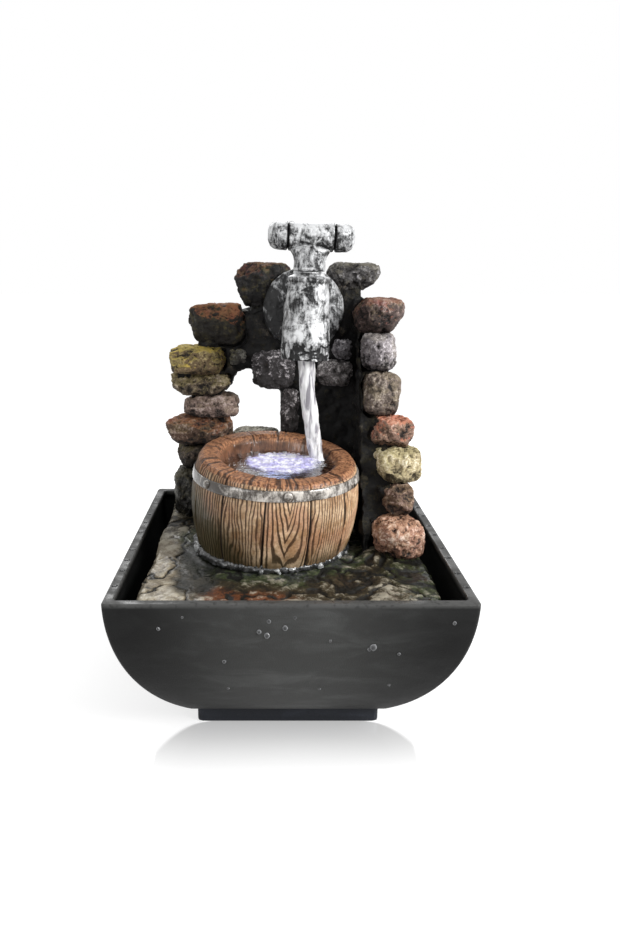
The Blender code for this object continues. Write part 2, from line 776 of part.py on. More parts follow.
def build_core(cutters):
    """The dark core behind the stones, its right wing, the tube's channel and the channel's cover."""
    base = DECK_TOP_Z + SEAT_GAP
    outline = [(wall_x(a), base + wall_z(b)) for a, b in CORE_OUTLINE_SHARES]
    core = prism("wall_core", outline, CORE_FRONT_Y, CORE_BACK_Y, resin_dark())
    for name in CORE_POCKETS:
        boolean(core, cutters[name])
    wing_front = CORE_FRONT_Y - SEAT_GAP
    wing_outline = []
    for forward, up in WING_OUTLINE_SHARES:
        y = min(WALL_BACK_Y - WALL_THICKNESS * forward, wing_front)
        wing_outline.append((y, base + wall_z(up)))
    wing_x = (BARREL_SIDES[1] + WING_TO_BARREL, wall_x(WING_SIDE_SHARE))
    wing = prism("wall_wing", wing_outline, wing_x[0], wing_x[1], resin_dark(), axis="X")
    for name in WING_POCKETS:
        boolean(wing, cutters[name])
    half = TUBE_RADIUS + CHANNEL_CLEARANCE
    top = max(z for _, z in outline)
    channel_top = TAP_Z + ELBOW_BEND + SPIGOT_RADIUS
    channel = box(
        "channel_guide",
        (TAP_X - half, TUBE_Y - half, base - CUT_OVERRUN),
        (TAP_X + half, CORE_BACK_Y + CUT_OVERRUN, channel_top),
        hidden=True,
    )
    boolean(core, channel)
    cover_low = base + COVER_END_MARGIN
    cover_high = top - COVER_END_MARGIN / 2
    recess = box(
        "recess_guide",
        (TAP_X - COVER_HALF_WIDTH - SEAT_GAP, CORE_BACK_Y - COVER_THICKNESS - SEAT_GAP, cover_low - SEAT_GAP),
        (TAP_X + COVER_HALF_WIDTH + SEAT_GAP, CORE_BACK_Y + CUT_OVERRUN, cover_high + SEAT_GAP),
        hidden=True,
    )
    boolean(core, recess)
    tail_hole = turned(
        "tail_hole_guide",
        [(TAIL_RADIUS + SEAT_GAP, y) for y in (CORE_FRONT_Y - CUT_OVERRUN, TUBE_Y)],
        None,
        FINE,
        "Y",
        (TAP_X, TAP_Z),
        hidden=True,
    )
    boolean(core, tail_hole)
    cover = box(
        "channel_cover",
        (TAP_X - COVER_HALF_WIDTH, CORE_BACK_Y - COVER_THICKNESS, cover_low),
        (TAP_X + COVER_HALF_WIDTH, CORE_BACK_Y, cover_high),
        resin_dark(),
    )
    places = {
        "cover_screw_low": (TAP_X - SCREW_OFFSET, cover_low + SCREW_END_MARGIN),
        "cover_screw_high": (TAP_X + SCREW_OFFSET, cover_high - SCREW_END_MARGIN),
    }
    for name, place in places.items():
        hole = turned(
            name + "_hole_guide",
            [
                (SCREW_RADIUS + RUNNING_GAP, CORE_BACK_Y - SCREW_LENGTH - SEAT_GAP),
                (SCREW_RADIUS + RUNNING_GAP, CORE_BACK_Y + CUT_OVERRUN),
            ],
            None,
            SMALL,
            "Y",
            place,
            hidden=True,
        )
        boolean(core, hole)
        boolean(cover, hole)
        head = CORE_BACK_Y + SEAT_GAP
        profile = [
            (SCREW_RADIUS, CORE_BACK_Y - SCREW_LENGTH),
            (SCREW_RADIUS, head),
            (SCREW_HEAD_RADIUS, head),
            (SCREW_HEAD_RADIUS * 0.9, head + SCREW_HEAD_RISE * 0.6),
            (SCREW_HEAD_RADIUS * 0.5, head + SCREW_HEAD_RISE),
        ]
        turned(name, profile, aged_silver(), SMALL, "Y", place)


def barrel_radius(z):
    """The barrel's outer radius at a height along its axis: widest a little above half height."""
    widest = BARREL_HEIGHT * BULGE_HEIGHT_SHARE
    end = BARREL_RIM_RADIUS if z > widest else BARREL_FOOT_RADIUS
    share = (z - widest) / (BARREL_HEIGHT - widest if z > widest else widest)
    return BARREL_BULGE_RADIUS - (BARREL_BULGE_RADIUS - end) * share**2


def barrel_ring(radius, z, groove=0.0):
    """A ring of three points to a stave, the first of each drawn in as the groove between staves."""
    ring = []
    for k in range(3 * STAVES):
        angle = 2 * math.pi * k / (3 * STAVES)
        size = radius - (groove if k % 3 == 0 else 0.0)
        ring.append(Vector((size * math.cos(angle), size * math.sin(angle), z)))
    return ring


def barrel_shell(name, grow, hidden=False, parent=None):
    """The barrel's body, or its grown outside as a cutter. It runs below the ground, where it is cut level."""
    sunk = -BARREL_BULGE_RADIUS * math.sin(BARREL_TILT + BARREL_LEAN)
    shoulder = BARREL_HEIGHT - RIM_ROUND
    levels = [sunk + (shoulder - sunk) * k / 7 for k in range(8)]
    rings = []
    for z in levels:
        rings.append(barrel_ring(barrel_radius(z) + grow, z, 0.0 if grow else STAVE_GROOVE))
    if grow:
        return mesh_object(name, *loft(rings), None, parent=parent, hidden=True)
    rings.append(barrel_ring(BARREL_RIM_RADIUS - RIM_ROUND, BARREL_HEIGHT, STAVE_GROOVE))
    rings.append(barrel_ring(BASIN_MOUTH_RADIUS + RIM_ROUND / 2, BARREL_HEIGHT, STAVE_GROOVE))
    for share in (0.1, 0.4, 0.75, 1.0):
        sag = math.sin(share * math.pi / 2)
        radius = BASIN_MOUTH_RADIUS + (BASIN_FLOOR_RADIUS - BASIN_MOUTH_RADIUS) * share
        rings.append(barrel_ring(radius, BARREL_HEIGHT - BASIN_DEPTH * sag))
    hole = LAMP_STEM_RADIUS + SEAT_GAP
    under = BASIN_FLOOR_Z - BARREL_FLOOR
    cavity = BARREL_FOOT_RADIUS - BARREL_WALL
    rings.append(barrel_ring(hole, BASIN_FLOOR_Z))
    rings.append(barrel_ring(hole, under))
    rings.append(barrel_ring(BASIN_FLOOR_RADIUS, under))
    rings.append(barrel_ring(cavity, under - BARREL_FLOOR))
    rings.append(barrel_ring(cavity, sunk))
    return mesh_object(name, *loft(rings, True), resin_wood(), parent=parent)


def build_barrel():
    """The tilted barrel with its hoops and the lamp in its floor."""
    turn = Matrix.Rotation(BARREL_LEAN, 3, "Y") @ Matrix.Rotation(BARREL_TILT, 3, "X")
    axis = frame("barrel_axis", (BARREL_X, BARREL_Y, DECK_TOP_Z), turn)
    barrel = barrel_shell("barrel", 0.0, parent=axis)
    outside = barrel_shell("barrel_outside_guide", SEAT_GAP, hidden=True, parent=axis)
    reach = BARREL_BULGE_RADIUS + CUT_OVERRUN
    ground = box(
        "barrel_ground_guide",
        (BARREL_X - reach, BARREL_Y - reach, DECK_BOTTOM_Z - reach),
        (BARREL_X + reach, BARREL_Y + reach, DECK_TOP_Z + SEAT_GAP),
        hidden=True,
    )
    boolean(barrel, ground)
    build_hoop(axis)
    ring_low = DECK_TOP_Z + SEAT_GAP
    ring_high = ring_low + FOOT_RING_HEIGHT
    outer = BARREL_FOOT_RADIUS + FOOT_RING_WIDTH
    core = BARREL_FOOT_RADIUS - BARREL_WALL / 2
    profile = [
        (outer, ring_low),
        (outer, ring_low + FOOT_RING_HEIGHT * 0.4),
        (outer - FOOT_RING_WIDTH / 2, ring_high),
        (core, ring_high),
        (core, ring_low),
    ]
    foot_ring = turned(
        "barrel_foot_ring", profile, aged_silver(), 3 * STAVES, "Z", (BARREL_X, BARREL_Y), bored=True
    )
    boolean(foot_ring, outside)
    build_lamp(axis)


def build_hoop(axis):
    """The upper hoop with its rivet heads, which one casting carries."""
    top = BARREL_HEIGHT - HOOP_BELOW_RIM
    rings = []
    for out, z in ((0.0, top), (0.0, top - HOOP_WIDTH)):
        rings.append(barrel_ring(barrel_radius(z) + SEAT_GAP + out, z))
    for out, z in ((HOOP_THICKNESS, top - HOOP_WIDTH), (HOOP_THICKNESS, top)):
        rings.append(barrel_ring(barrel_radius(z) + SEAT_GAP + out, z))
    hoop = mesh_object("barrel_hoop", *loft(rings, True), aged_silver(), parent=axis)
    middle = top - HOOP_WIDTH / 2
    face = barrel_radius(middle) + SEAT_GAP + HOOP_THICKNESS
    root = face - HOOP_THICKNESS / 2
    for k in range(RIVETS):
        angle = RIVET_FIRST_ANGLE + 2 * math.pi * k / RIVETS
        profile = [
            (RIVET_RADIUS, root),
            (RIVET_RADIUS, face),
            (RIVET_RADIUS * 0.75, face + RIVET_RISE * 0.7),
            (RIVET_RADIUS * 0.3, face + RIVET_RISE),
        ]
        rivet = turned(f"rivet_guide_{k}", profile, None, SMALL, "X", hidden=True)
        rivet.parent = axis
        rivet.location = (0.0, 0.0, middle)
        rivet.rotation_euler = (0.0, 0.0, angle)
        boolean(hoop, rivet, "UNION")


def build_lamp(axis):
    """The sealed lamp in the barrel's floor: body, seal, board, lens and nut."""
    seal_low = BASIN_FLOOR_Z + SEAT_GAP
    seal_high = seal_low + LAMP_SEAL_THICKNESS
    base = seal_high + SEAT_GAP
    deck = base + LAMP_BASE
    top = base + LAMP_HEIGHT
    under = BASIN_FLOOR_Z - BARREL_FLOOR
    nut_low = under - SEAT_GAP - LAMP_NUT_THICKNESS
    stem_end = nut_low - LAMP_NUT_THICKNESS / 2
    inside = LAMP_RADIUS - LAMP_WALL
    lens_low = top - LENS_RISE
    body = [
        (LAMP_STEM_RADIUS, stem_end),
        (LAMP_STEM_RADIUS, base),
        (LAMP_RADIUS, base),
        (LAMP_RADIUS, top),
        (inside, top),
        (inside, deck),
        (LAMP_LEAD_RADIUS, deck),
        (LAMP_LEAD_RADIUS, stem_end),
    ]
    turned("lamp_body", body, pump_plastic(), FINE, parent=axis, bored=True)
    hole = LAMP_STEM_RADIUS + SEAT_GAP
    seal = [(hole, seal_low), (inside, seal_low), (inside, seal_high), (hole, seal_high)]
    turned("lamp_seal", seal, soft_rubber(), FINE, parent=axis, bored=True)
    nut_profile = [(LAMP_NUT_RADIUS, nut_low), (LAMP_NUT_RADIUS, nut_low + LAMP_NUT_THICKNESS)]
    nut = turned("lamp_nut", nut_profile, pump_plastic(), 6, parent=axis)
    thread = [(hole, nut_low - CUT_OVERRUN), (hole, nut_low + LAMP_NUT_THICKNESS + CUT_OVERRUN)]
    boolean(nut, turned("nut_hole_guide", thread, None, FINE, parent=axis, hidden=True))
    board_low = deck + SEAT_GAP
    board_high = board_low + LAMP_BOARD_THICKNESS
    board = turned(
        "lamp_board",
        [(inside - SEAT_GAP, board_low), (inside - SEAT_GAP, board_high)],
        material("board_white", (0.85, 0.85, 0.82), 0.5),
        FINE,
        parent=axis,
    )
    for k in range(LED_COUNT):
        angle = 2 * math.pi * k / LED_COUNT
        place = (inside / 2 * math.cos(angle), inside / 2 * math.sin(angle))
        led = turned(
            f"led_guide_{k}",
            [
                (LED_RADIUS, board_high - LAMP_BOARD_THICKNESS / 2),
                (LED_RADIUS, board_high + LED_RADIUS * 0.3),
                (LED_RADIUS / 2, board_high + LED_RADIUS * 0.6),
            ],
            None,
            8,
            "Z",
            place,
            parent=axis,
            hidden=True,
        )
        boolean(board, led, "UNION")
    lens = [
        (inside - SEAT_GAP, lens_low - LENS_RISE),
        (inside - SEAT_GAP, lens_low),
        (inside * 0.75, lens_low + LENS_RISE * 0.7),
        (inside * 0.35, lens_low + LENS_RISE),
    ]
    turned("lamp_lens", lens, clear_plastic(), FINE, parent=axis)


def build_water_path():
    """The pump's outlet, the riser tube and the elbow behind the tap."""
    start = Vector((TAP_X, PUMP_BACK_Y + SEAT_GAP, OUTLET_Z))
    corner = Vector((TAP_X, TUBE_Y, OUTLET_Z))
    tube_low = OUTLET_Z + ELBOW_BEND + SPIGOT_RADIUS
    end = Vector((TAP_X, TUBE_Y, tube_low + SPIGOT_LENGTH))
    path = elbow_path(start, corner, end, ELBOW_BEND)
    sections = [(k, SPIGOT_RADIUS, SPIGOT_BORE_RADIUS) for k in range(len(path))]
    pipe("pump_outlet", path, sections, pump_plastic(), 12)
    elbow_low = TAP_Z - ELBOW_BEND - SPIGOT_LENGTH
    tube_high = TAP_Z - ELBOW_BEND - SPIGOT_RADIUS
    tube = [
        (TUBE_RADIUS, tube_low),
        (TUBE_RADIUS, tube_high),
        (TUBE_BORE_RADIUS, tube_high),
        (TUBE_BORE_RADIUS, tube_low),
    ]
    turned("riser_tube", tube, clear_plastic(), FINE, "Z", (TAP_X, TUBE_Y), bored=True)
    path = elbow_path(
        Vector((TAP_X, TUBE_Y, elbow_low)),
        Vector((TAP_X, TUBE_Y, TAP_Z)),
        Vector((TAP_X, TUBE_Y - ELBOW_BEND - SPIGOT_LENGTH, TAP_Z)),
        ELBOW_BEND,
    )
    sections = [(k, SPIGOT_RADIUS, SPIGOT_BORE_RADIUS) for k in range(len(path))]
    pipe("hose_elbow", path, sections, pump_plastic(), 12)


def tap_pipe(name, axis, grow):
    """The tap's pipe and spout, or its grown solid outside as a cutter."""
    front = -TAP_REACH
    tail = TUBE_Y - CORE_FRONT_Y - ELBOW_BEND - SEAT_GAP
    start = Vector((0.0, tail, 0.0))
    path = elbow_path(start, Vector((0.0, front, 0.0)), Vector((0.0, front, -SPOUT_DROP)), SPOUT_BEND, 8)
    neck_y = -FLANGE_DOME - SEAT_GAP
    path.insert(1, Vector((0.0, neck_y + SEAT_GAP, 0.0)))
    path.insert(2, Vector((0.0, neck_y, 0.0)))
    tail_bore = SPIGOT_RADIUS + RUNNING_GAP
    sections = [(0, TAIL_RADIUS, tail_bore), (1, TAIL_RADIUS, tail_bore), (2, PIPE_RADIUS, tail_bore)]
    bend_points = len(path) - 4
    for k in range(bend_points):
        share = k / (bend_points - 1)
        radius = PIPE_RADIUS + (SPOUT_RADIUS - PIPE_RADIUS) * share
        bore = tail_bore + (SPOUT_BORE_RADIUS - tail_bore) * share
        sections.append((k + 3, radius, bore))
    sections.append((len(path) - 1, SPOUT_RADIUS, SPOUT_BORE_RADIUS))
    if grow:
        grown = [(index, radius + grow, bore) for index, radius, bore in sections]
        return pipe(name, path, grown, None, parent=axis, hidden=True, bored=False)
    return pipe(name, path, sections, aged_silver(), parent=axis)


def build_tap():
    """The tap on the wall: flange, pipe with spout, collar and turning T handle."""
    turn = Matrix.Rotation(TAP_LEAN, 3, "Y")
    axis = frame("tap_axis", (TAP_X, CORE_FRONT_Y, TAP_Z), turn)
    back = -SEAT_GAP
    bore = TAIL_RADIUS + SEAT_GAP
    flange = [
        (bore, back),
        (FLANGE_RADIUS, back),
        (FLANGE_RADIUS, back - FLANGE_EDGE),
        (FLANGE_RADIUS * 0.9, back - FLANGE_EDGE - (FLANGE_DOME - FLANGE_EDGE) * 0.45),
        (FLANGE_RADIUS * 0.7, back - FLANGE_EDGE - (FLANGE_DOME - FLANGE_EDGE) * 0.8),
        (PIPE_RADIUS, -FLANGE_DOME),
        (bore, -FLANGE_DOME),
    ]
    turned("tap_flange", flange, aged_silver(), ROUND, "Y", bored=True, parent=axis)
    tap_pipe("tap_pipe", axis, 0.0)
    outside = tap_pipe("tap_outside_guide", axis, SEAT_GAP)
    stem = (0.0, -TAP_REACH)
    spindle_hole = SPINDLE_RADIUS + RUNNING_GAP
    ring_low = COLLAR_TOP - 2 * COLLAR_RING
    ring_high = COLLAR_TOP - COLLAR_RING
    collar = [
        (COLLAR_RADIUS, COLLAR_FOOT),
        (COLLAR_RADIUS * 1.02, ring_low / 2),
        (COLLAR_RADIUS * 0.93, ring_low),
        (COLLAR_RADIUS, ring_low + COLLAR_RING * 0.3),
        (COLLAR_RADIUS, ring_high),
        (NECK_RADIUS, ring_high + COLLAR_RING * 0.3),
        (NECK_RADIUS, COLLAR_TOP),
        (spindle_hole, COLLAR_TOP),
        (spindle_hole, COLLAR_TOP - SPINDLE_DEPTH - RUNNING_GAP),
    ]
    bonnet = turned("tap_collar", collar, aged_silver(), ROUND, "Z", stem, parent=axis)
    boolean(bonnet, outside)
    stem_frame = frame("handle_axis", (0.0, 0.0, 0.0))
    stem_frame.parent = axis
    stem_frame.location = (0.0, -TAP_REACH, COLLAR_TOP + RUNNING_GAP)
    bar_z = NECK_RISE + BAR_RADIUS
    neck = [
        (SPINDLE_RADIUS, -SPINDLE_DEPTH),
        (SPINDLE_RADIUS, 0.0),
        (NECK_RADIUS, 0.0),
        (NECK_RADIUS, NECK_RISE * 0.5),
        (NECK_RADIUS + NECK_FLARE * 0.3, NECK_RISE * 0.78),
        (NECK_RADIUS + NECK_FLARE, NECK_RISE + BAR_RADIUS * 0.1),
        (NECK_RADIUS, NECK_RISE + BAR_RADIUS * 0.5),
        (BAR_RADIUS * 0.6, bar_z),
    ]
    neck_guide = turned("neck_guide", neck, None, ROUND, parent=stem_frame, hidden=True)
    half_groove = BAR_GROOVE_WIDTH / 2
    profile = [
        (BAR_RADIUS * 0.35, -BAR_HALF_LENGTH),
        (BAR_RADIUS * 0.72, -BAR_HALF_LENGTH * 0.95),
        (BAR_RADIUS * 0.94, -BAR_HALF_LENGTH * 0.84),
        (BAR_RADIUS, -BAR_HALF_LENGTH * 0.68),
        (BAR_RADIUS, -BAR_GROOVE_AT - half_groove),
        (BAR_RADIUS - BAR_GROOVE, -BAR_GROOVE_AT),
        (BAR_RADIUS, -BAR_GROOVE_AT + half_groove),
    ]
    profile = profile + [(radius, -along) for radius, along in profile[::-1]]
    handle = turned("tap_handle", profile, aged_silver(), FINE, "X", (0.0, bar_z), parent=stem_frame)
    boolean(handle, neck_guide, "UNION")


def build_pump():
    """The pump under the rockwork: housing, rotor, cover, strainer, flow gate and suction cups."""
    low_y, high_y = PUMP_MID_Y - PUMP_DEPTH / 2, PUMP_BACK_Y
    low_z, high_z = PUMP_BOTTOM_Z, PUMP_BOTTOM_Z + PUMP_HEIGHT
    centre = (PUMP_MID_Y, PUMP_AXIS_Z)
    housing = box("pump_housing", (MOTOR_END_X, low_y, low_z), (VOLUTE_MOUTH_X, high_y, high_z), pump_plastic())
    bevel(housing, PUMP_EDGE)
    socket = SHAFT_RADIUS + RUNNING_GAP
    cavity = [
        (socket, WELL_END_X - SHAFT_SOCKET),
        (socket, WELL_END_X),
        (WELL_RADIUS, WELL_END_X),
        (WELL_RADIUS, VOLUTE_FLOOR_X),
        (VOLUTE_RADIUS, VOLUTE_FLOOR_X),
        (VOLUTE_RADIUS, VOLUTE_MOUTH_X + CUT_OVERRUN),
    ]
    boolean(housing, turned("cavity_guide", cavity, None, FINE, "X", centre, hidden=True))
    outlet = turned(
        "outlet_guide",
        [(SPIGOT_BORE_RADIUS, PUMP_MID_Y), (SPIGOT_BORE_RADIUS, high_y + CUT_OVERRUN)],
        None,
        SMALL,
        "Y",
        (TAP_X, OUTLET_Z),
        hidden=True,
    )
    boolean(housing, outlet)
    build_rotor(centre, socket)
    cover = box(
        "pump_cover", (VOLUTE_MOUTH_X + SEAT_GAP, low_y, low_z), (COVER_FACE_X, high_y, high_z), pump_plastic()
    )
    pin_hole = [(socket, VOLUTE_MOUTH_X - CUT_OVERRUN), (socket, COVER_FACE_X - PUMP_COVER_THICKNESS / 2)]
    boolean(cover, turned("pin_hole_guide", pin_hole, None, SMALL, "X", centre, hidden=True))
    for k in range(INTAKE_HOLES):
        angle = 2 * math.pi * k / INTAKE_HOLES
        y = centre[0] + INTAKE_HOLE_CIRCLE * math.cos(angle)
        z = centre[1] + INTAKE_HOLE_CIRCLE * math.sin(angle)
        span = (VOLUTE_MOUTH_X - CUT_OVERRUN, COVER_FACE_X + CUT_OVERRUN)
        hole = [(INTAKE_HOLE_RADIUS, x) for x in span]
        boolean(cover, turned(f"intake_guide_{k}", hole, None, 8, "X", (y, z), hidden=True))
    build_strainer(low_y, high_y, low_z, high_z)
    gland = [
        (GLAND_RADIUS, MOTOR_END_X - SEAT_GAP),
        (GLAND_RADIUS, MOTOR_END_X - GLAND_LENGTH / 3),
        (GLAND_RADIUS * 0.75, MOTOR_END_X - GLAND_LENGTH),
        (CORD_HOLE_RADIUS, MOTOR_END_X - GLAND_LENGTH),
        (CORD_HOLE_RADIUS, MOTOR_END_X - SEAT_GAP),
    ]
    turned("pump_gland", gland, soft_rubber(), SMALL, "X", (PUMP_MID_Y, OUTLET_Z), bored=True)
    cup_low = BOWL_FLOOR_Z + SEAT_GAP
    cup_high = cup_low + CUP_HEIGHT
    cup = [
        (CUP_RADIUS, cup_low),
        (CUP_RADIUS * 0.72, cup_low + CUP_HEIGHT * 0.22),
        (CUP_NECK_RADIUS, cup_low + CUP_HEIGHT * 0.42),
        (CUP_NECK_RADIUS, cup_low + CUP_HEIGHT * 0.78),
        (CUP_BUTTON_RADIUS, cup_low + CUP_HEIGHT * 0.82),
        (CUP_BUTTON_RADIUS, cup_high),
    ]
    xs = (MOTOR_END_X + CUP_INSET, VOLUTE_MOUTH_X - CUP_INSET)
    ys = (low_y + CUP_INSET, high_y - CUP_INSET - CUP_INSET / 2)
    for k, (x, y) in enumerate((x, y) for x in xs for y in ys):
        turned(f"suction_cup_{k + 1}", cup, soft_rubber(), SMALL, "Z", (x, y))


def build_rotor(centre, bore):
    """The magnet and the bladed impeller, on the ceramic shaft."""
    look = material("ceramic", (0.85, 0.84, 0.80), 0.3)
    shaft = [
        (SHAFT_RADIUS, WELL_END_X - SHAFT_SOCKET + SEAT_GAP),
        (SHAFT_RADIUS, COVER_FACE_X - PUMP_COVER_THICKNESS / 2 - SEAT_GAP),
    ]
    turned("pump_shaft", shaft, look, SMALL, "X", centre)
    disc_x = VOLUTE_FLOOR_X + RUNNING_GAP
    magnet_ends = (WELL_END_X + RUNNING_GAP * 2, disc_x - RUNNING_GAP * 2)
    magnet = [
        (bore, magnet_ends[0]),
        (ROTOR_RADIUS, magnet_ends[0]),
        (ROTOR_RADIUS, magnet_ends[1]),
        (bore, magnet_ends[1]),
    ]
    axis = frame("impeller_axis", (0.0, centre[0], centre[1]))
    ferrite = material("ferrite", (0.06, 0.06, 0.065), 0.35)
    turned("rotor_magnet", magnet, ferrite, FINE, "X", bored=True, parent=axis)
    hub_end = disc_x + IMPELLER_DISC + BLADE_HEIGHT
    hub = [
        (bore, disc_x),
        (IMPELLER_RADIUS, disc_x),
        (IMPELLER_RADIUS, disc_x + IMPELLER_DISC),
        (HUB_RADIUS, disc_x + IMPELLER_DISC),
        (HUB_RADIUS, hub_end),
        (bore, hub_end),
    ]
    white = material("impeller_white", (0.8, 0.8, 0.78), 0.4)
    impeller = turned("impeller", hub, white, FINE, "X", bored=True, parent=axis)
    for k in range(BLADE_COUNT):
        blade = box(
            f"blade_guide_{k}",
            (disc_x + IMPELLER_DISC / 2, HUB_RADIUS - BLADE_THICKNESS / 2, -BLADE_THICKNESS / 2),
            (hub_end, IMPELLER_RADIUS - BLADE_THICKNESS / 2, BLADE_THICKNESS / 2),
            hidden=True,
        )
        blade.parent = axis
        blade.rotation_euler = (2 * math.pi * k / BLADE_COUNT, 0.0, 0.0)
        boolean(impeller, blade, "UNION")


def build_strainer(low_y, high_y, low_z, high_z):
    """The slotted strainer and the gate that slides across its window to set the flow."""
    back_x = COVER_FACE_X + SEAT_GAP
    strainer = box("pump_strainer", (back_x, low_y, low_z), (STRAINER_FACE_X, high_y, high_z), pump_plastic())
    bevel(strainer, PUMP_EDGE / 2)
    inside = box(
        "strainer_inside_guide",
        (back_x - CUT_OVERRUN, low_y + STRAINER_WALL, low_z + STRAINER_WALL),
        (STRAINER_FACE_X - STRAINER_WALL, high_y - STRAINER_WALL, high_z - STRAINER_WALL),
        hidden=True,
    )
    boolean(strainer, inside)
    cut = (STRAINER_FACE_X - STRAINER_WALL - CUT_OVERRUN / 2, STRAINER_FACE_X + CUT_OVERRUN)
    pitch = (PUMP_DEPTH - 2 * STRAINER_WALL) / SLOT_COUNT
    slot_low = low_z + 2 * STRAINER_WALL
    for k in range(SLOT_COUNT):
        y = low_y + STRAINER_WALL + pitch * (k + 0.5)
        slot = box(
            f"slot_guide_{k}",
            (cut[0], y - SLOT_WIDTH / 2, slot_low),
            (cut[1], y + SLOT_WIDTH / 2, slot_low + SLOT_LENGTH),
            hidden=True,
        )
        boolean(strainer, slot)
    gate_z = slot_low + SLOT_LENGTH + STRAINER_WALL + GATE_WIDTH / 2
    gate_y = PUMP_MID_Y - GATE_TRAVEL / 2 - GATE_LENGTH / 4
    guide_half = GATE_NECK / 2 + RUNNING_GAP
    guide = box(
        "gate_slot_guide",
        (cut[0], gate_y - guide_half, gate_z - guide_half),
        (cut[1], gate_y + guide_half + GATE_TRAVEL, gate_z + guide_half),
        hidden=True,
    )
    boolean(strainer, guide)
    window_y = gate_y + GATE_TRAVEL + GATE_LENGTH / 2 + RUNNING_GAP
    window = box(
        "window_guide",
        (cut[0], window_y, gate_z - WINDOW_WIDTH / 2),
        (cut[1], window_y + WINDOW_LENGTH, gate_z + WINDOW_WIDTH / 2),
        hidden=True,
    )
    boolean(strainer, window)
    face = STRAINER_FACE_X + RUNNING_GAP
    gate = box(
        "flow_gate",
        (face, gate_y - GATE_LENGTH / 2, gate_z - GATE_WIDTH / 2),
        (face + GATE_THICKNESS, gate_y + GATE_LENGTH / 2 + WINDOW_LENGTH, gate_z + GATE_WIDTH / 2),
        pump_plastic(),
    )
    head_x = STRAINER_FACE_X - STRAINER_WALL - RUNNING_GAP
    neck = box(
        "gate_neck_guide",
        (head_x - GATE_HEAD_THICKNESS / 2, gate_y - GATE_NECK / 2, gate_z - GATE_NECK / 2),
        (face + GATE_THICKNESS / 2, gate_y + GATE_NECK / 2, gate_z + GATE_NECK / 2),
        hidden=True,
    )
    head = box(
        "gate_head_guide",
        (head_x - GATE_HEAD_THICKNESS, gate_y - GATE_HEAD / 2, gate_z - GATE_HEAD / 2),
        (head_x, gate_y + GATE_HEAD / 2, gate_z + GATE_HEAD / 2),
        hidden=True,
    )
    knob = box(
        "gate_knob_guide",
        (face + GATE_THICKNESS / 2, gate_y - GATE_NECK / 2, gate_z - GATE_WIDTH / 2),
        (face + 2 * GATE_THICKNESS, gate_y + GATE_NECK / 2, gate_z + GATE_WIDTH / 2),
        hidden=True,
    )
    for piece in (neck, head, knob):
        boolean(gate, piece, "UNION")


def main():
    """Builds the whole fountain."""
    clear_scene()
    build_bowl()
    build_grommet()
    build_deck()
    build_core(build_stones())
    build_barrel()
    build_water_path()
    build_tap()
    build_pump()


main()
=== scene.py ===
"""Looks of the tabletop fountain: a tap on a stacked-stone wall pours into a barrel in a square black bowl.

Metres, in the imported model's frame: +Z up, +X to the viewer's right, +Y to the back. Colours are written as
they look on a screen, from 0 to 255.
"""

import logging
import math
from dataclasses import dataclass, field, replace
from enum import Enum
from functools import cache

import bmesh
import bpy
import numpy as np
from mathutils import Matrix, Vector


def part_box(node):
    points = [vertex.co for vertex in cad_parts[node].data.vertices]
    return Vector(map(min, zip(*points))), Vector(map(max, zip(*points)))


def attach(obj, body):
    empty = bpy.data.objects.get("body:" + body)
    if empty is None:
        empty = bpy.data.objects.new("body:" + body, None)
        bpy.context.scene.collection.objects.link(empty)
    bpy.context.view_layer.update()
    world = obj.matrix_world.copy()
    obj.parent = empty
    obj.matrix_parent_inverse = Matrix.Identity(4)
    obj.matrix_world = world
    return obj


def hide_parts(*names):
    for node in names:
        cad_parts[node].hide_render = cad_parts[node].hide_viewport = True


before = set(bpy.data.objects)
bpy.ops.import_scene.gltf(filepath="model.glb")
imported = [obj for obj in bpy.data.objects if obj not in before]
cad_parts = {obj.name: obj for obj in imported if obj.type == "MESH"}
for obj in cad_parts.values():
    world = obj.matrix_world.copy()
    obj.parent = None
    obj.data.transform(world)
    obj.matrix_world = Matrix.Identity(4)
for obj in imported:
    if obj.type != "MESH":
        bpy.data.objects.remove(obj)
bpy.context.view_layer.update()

Array = np.ndarray
Number = np.ndarray | float
Point = tuple[float, float, float]
Colour = tuple[float, float, float]
Piece = bpy.types.Object
Material = bpy.types.Material
log = logging.getLogger("fountain")


class Body(Enum):
    """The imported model's bodies that new pieces ride on."""

    BOWL = "bowl"
    ROCKWORK = "rockwork"
    HANDLE = "tap_handle"


class Ends(Enum):
    """How a skin's rings close."""

    POLES = "poles"
    LOOP = "loop"


def paint(colour: Colour) -> Colour:
    """A screen colour turned into linear light."""
    shares = [value / 255 for value in colour]
    return tuple(s / 12.92 if s <= 0.04045 else ((s + 0.055) / 1.055) ** 2.4 for s in shares)


def joined(*parts: Number) -> Array:
    """Coordinates, stretched to one shape, side by side in a last axis."""
    return np.stack(np.broadcast_arrays(*parts), axis=-1)


def turns(count: int) -> Array:
    """Evenly spaced angles, once round."""
    return 2 * np.pi * np.arange(count) / count


def eased(value: Number, low: float, high: float) -> Array:
    """0 at the low value, 1 at the high one, and 3t² - 2t³ between."""
    share = np.clip((value - low) / (high - low), 0.0, 1.0)
    return share * share * (3 - 2 * share)


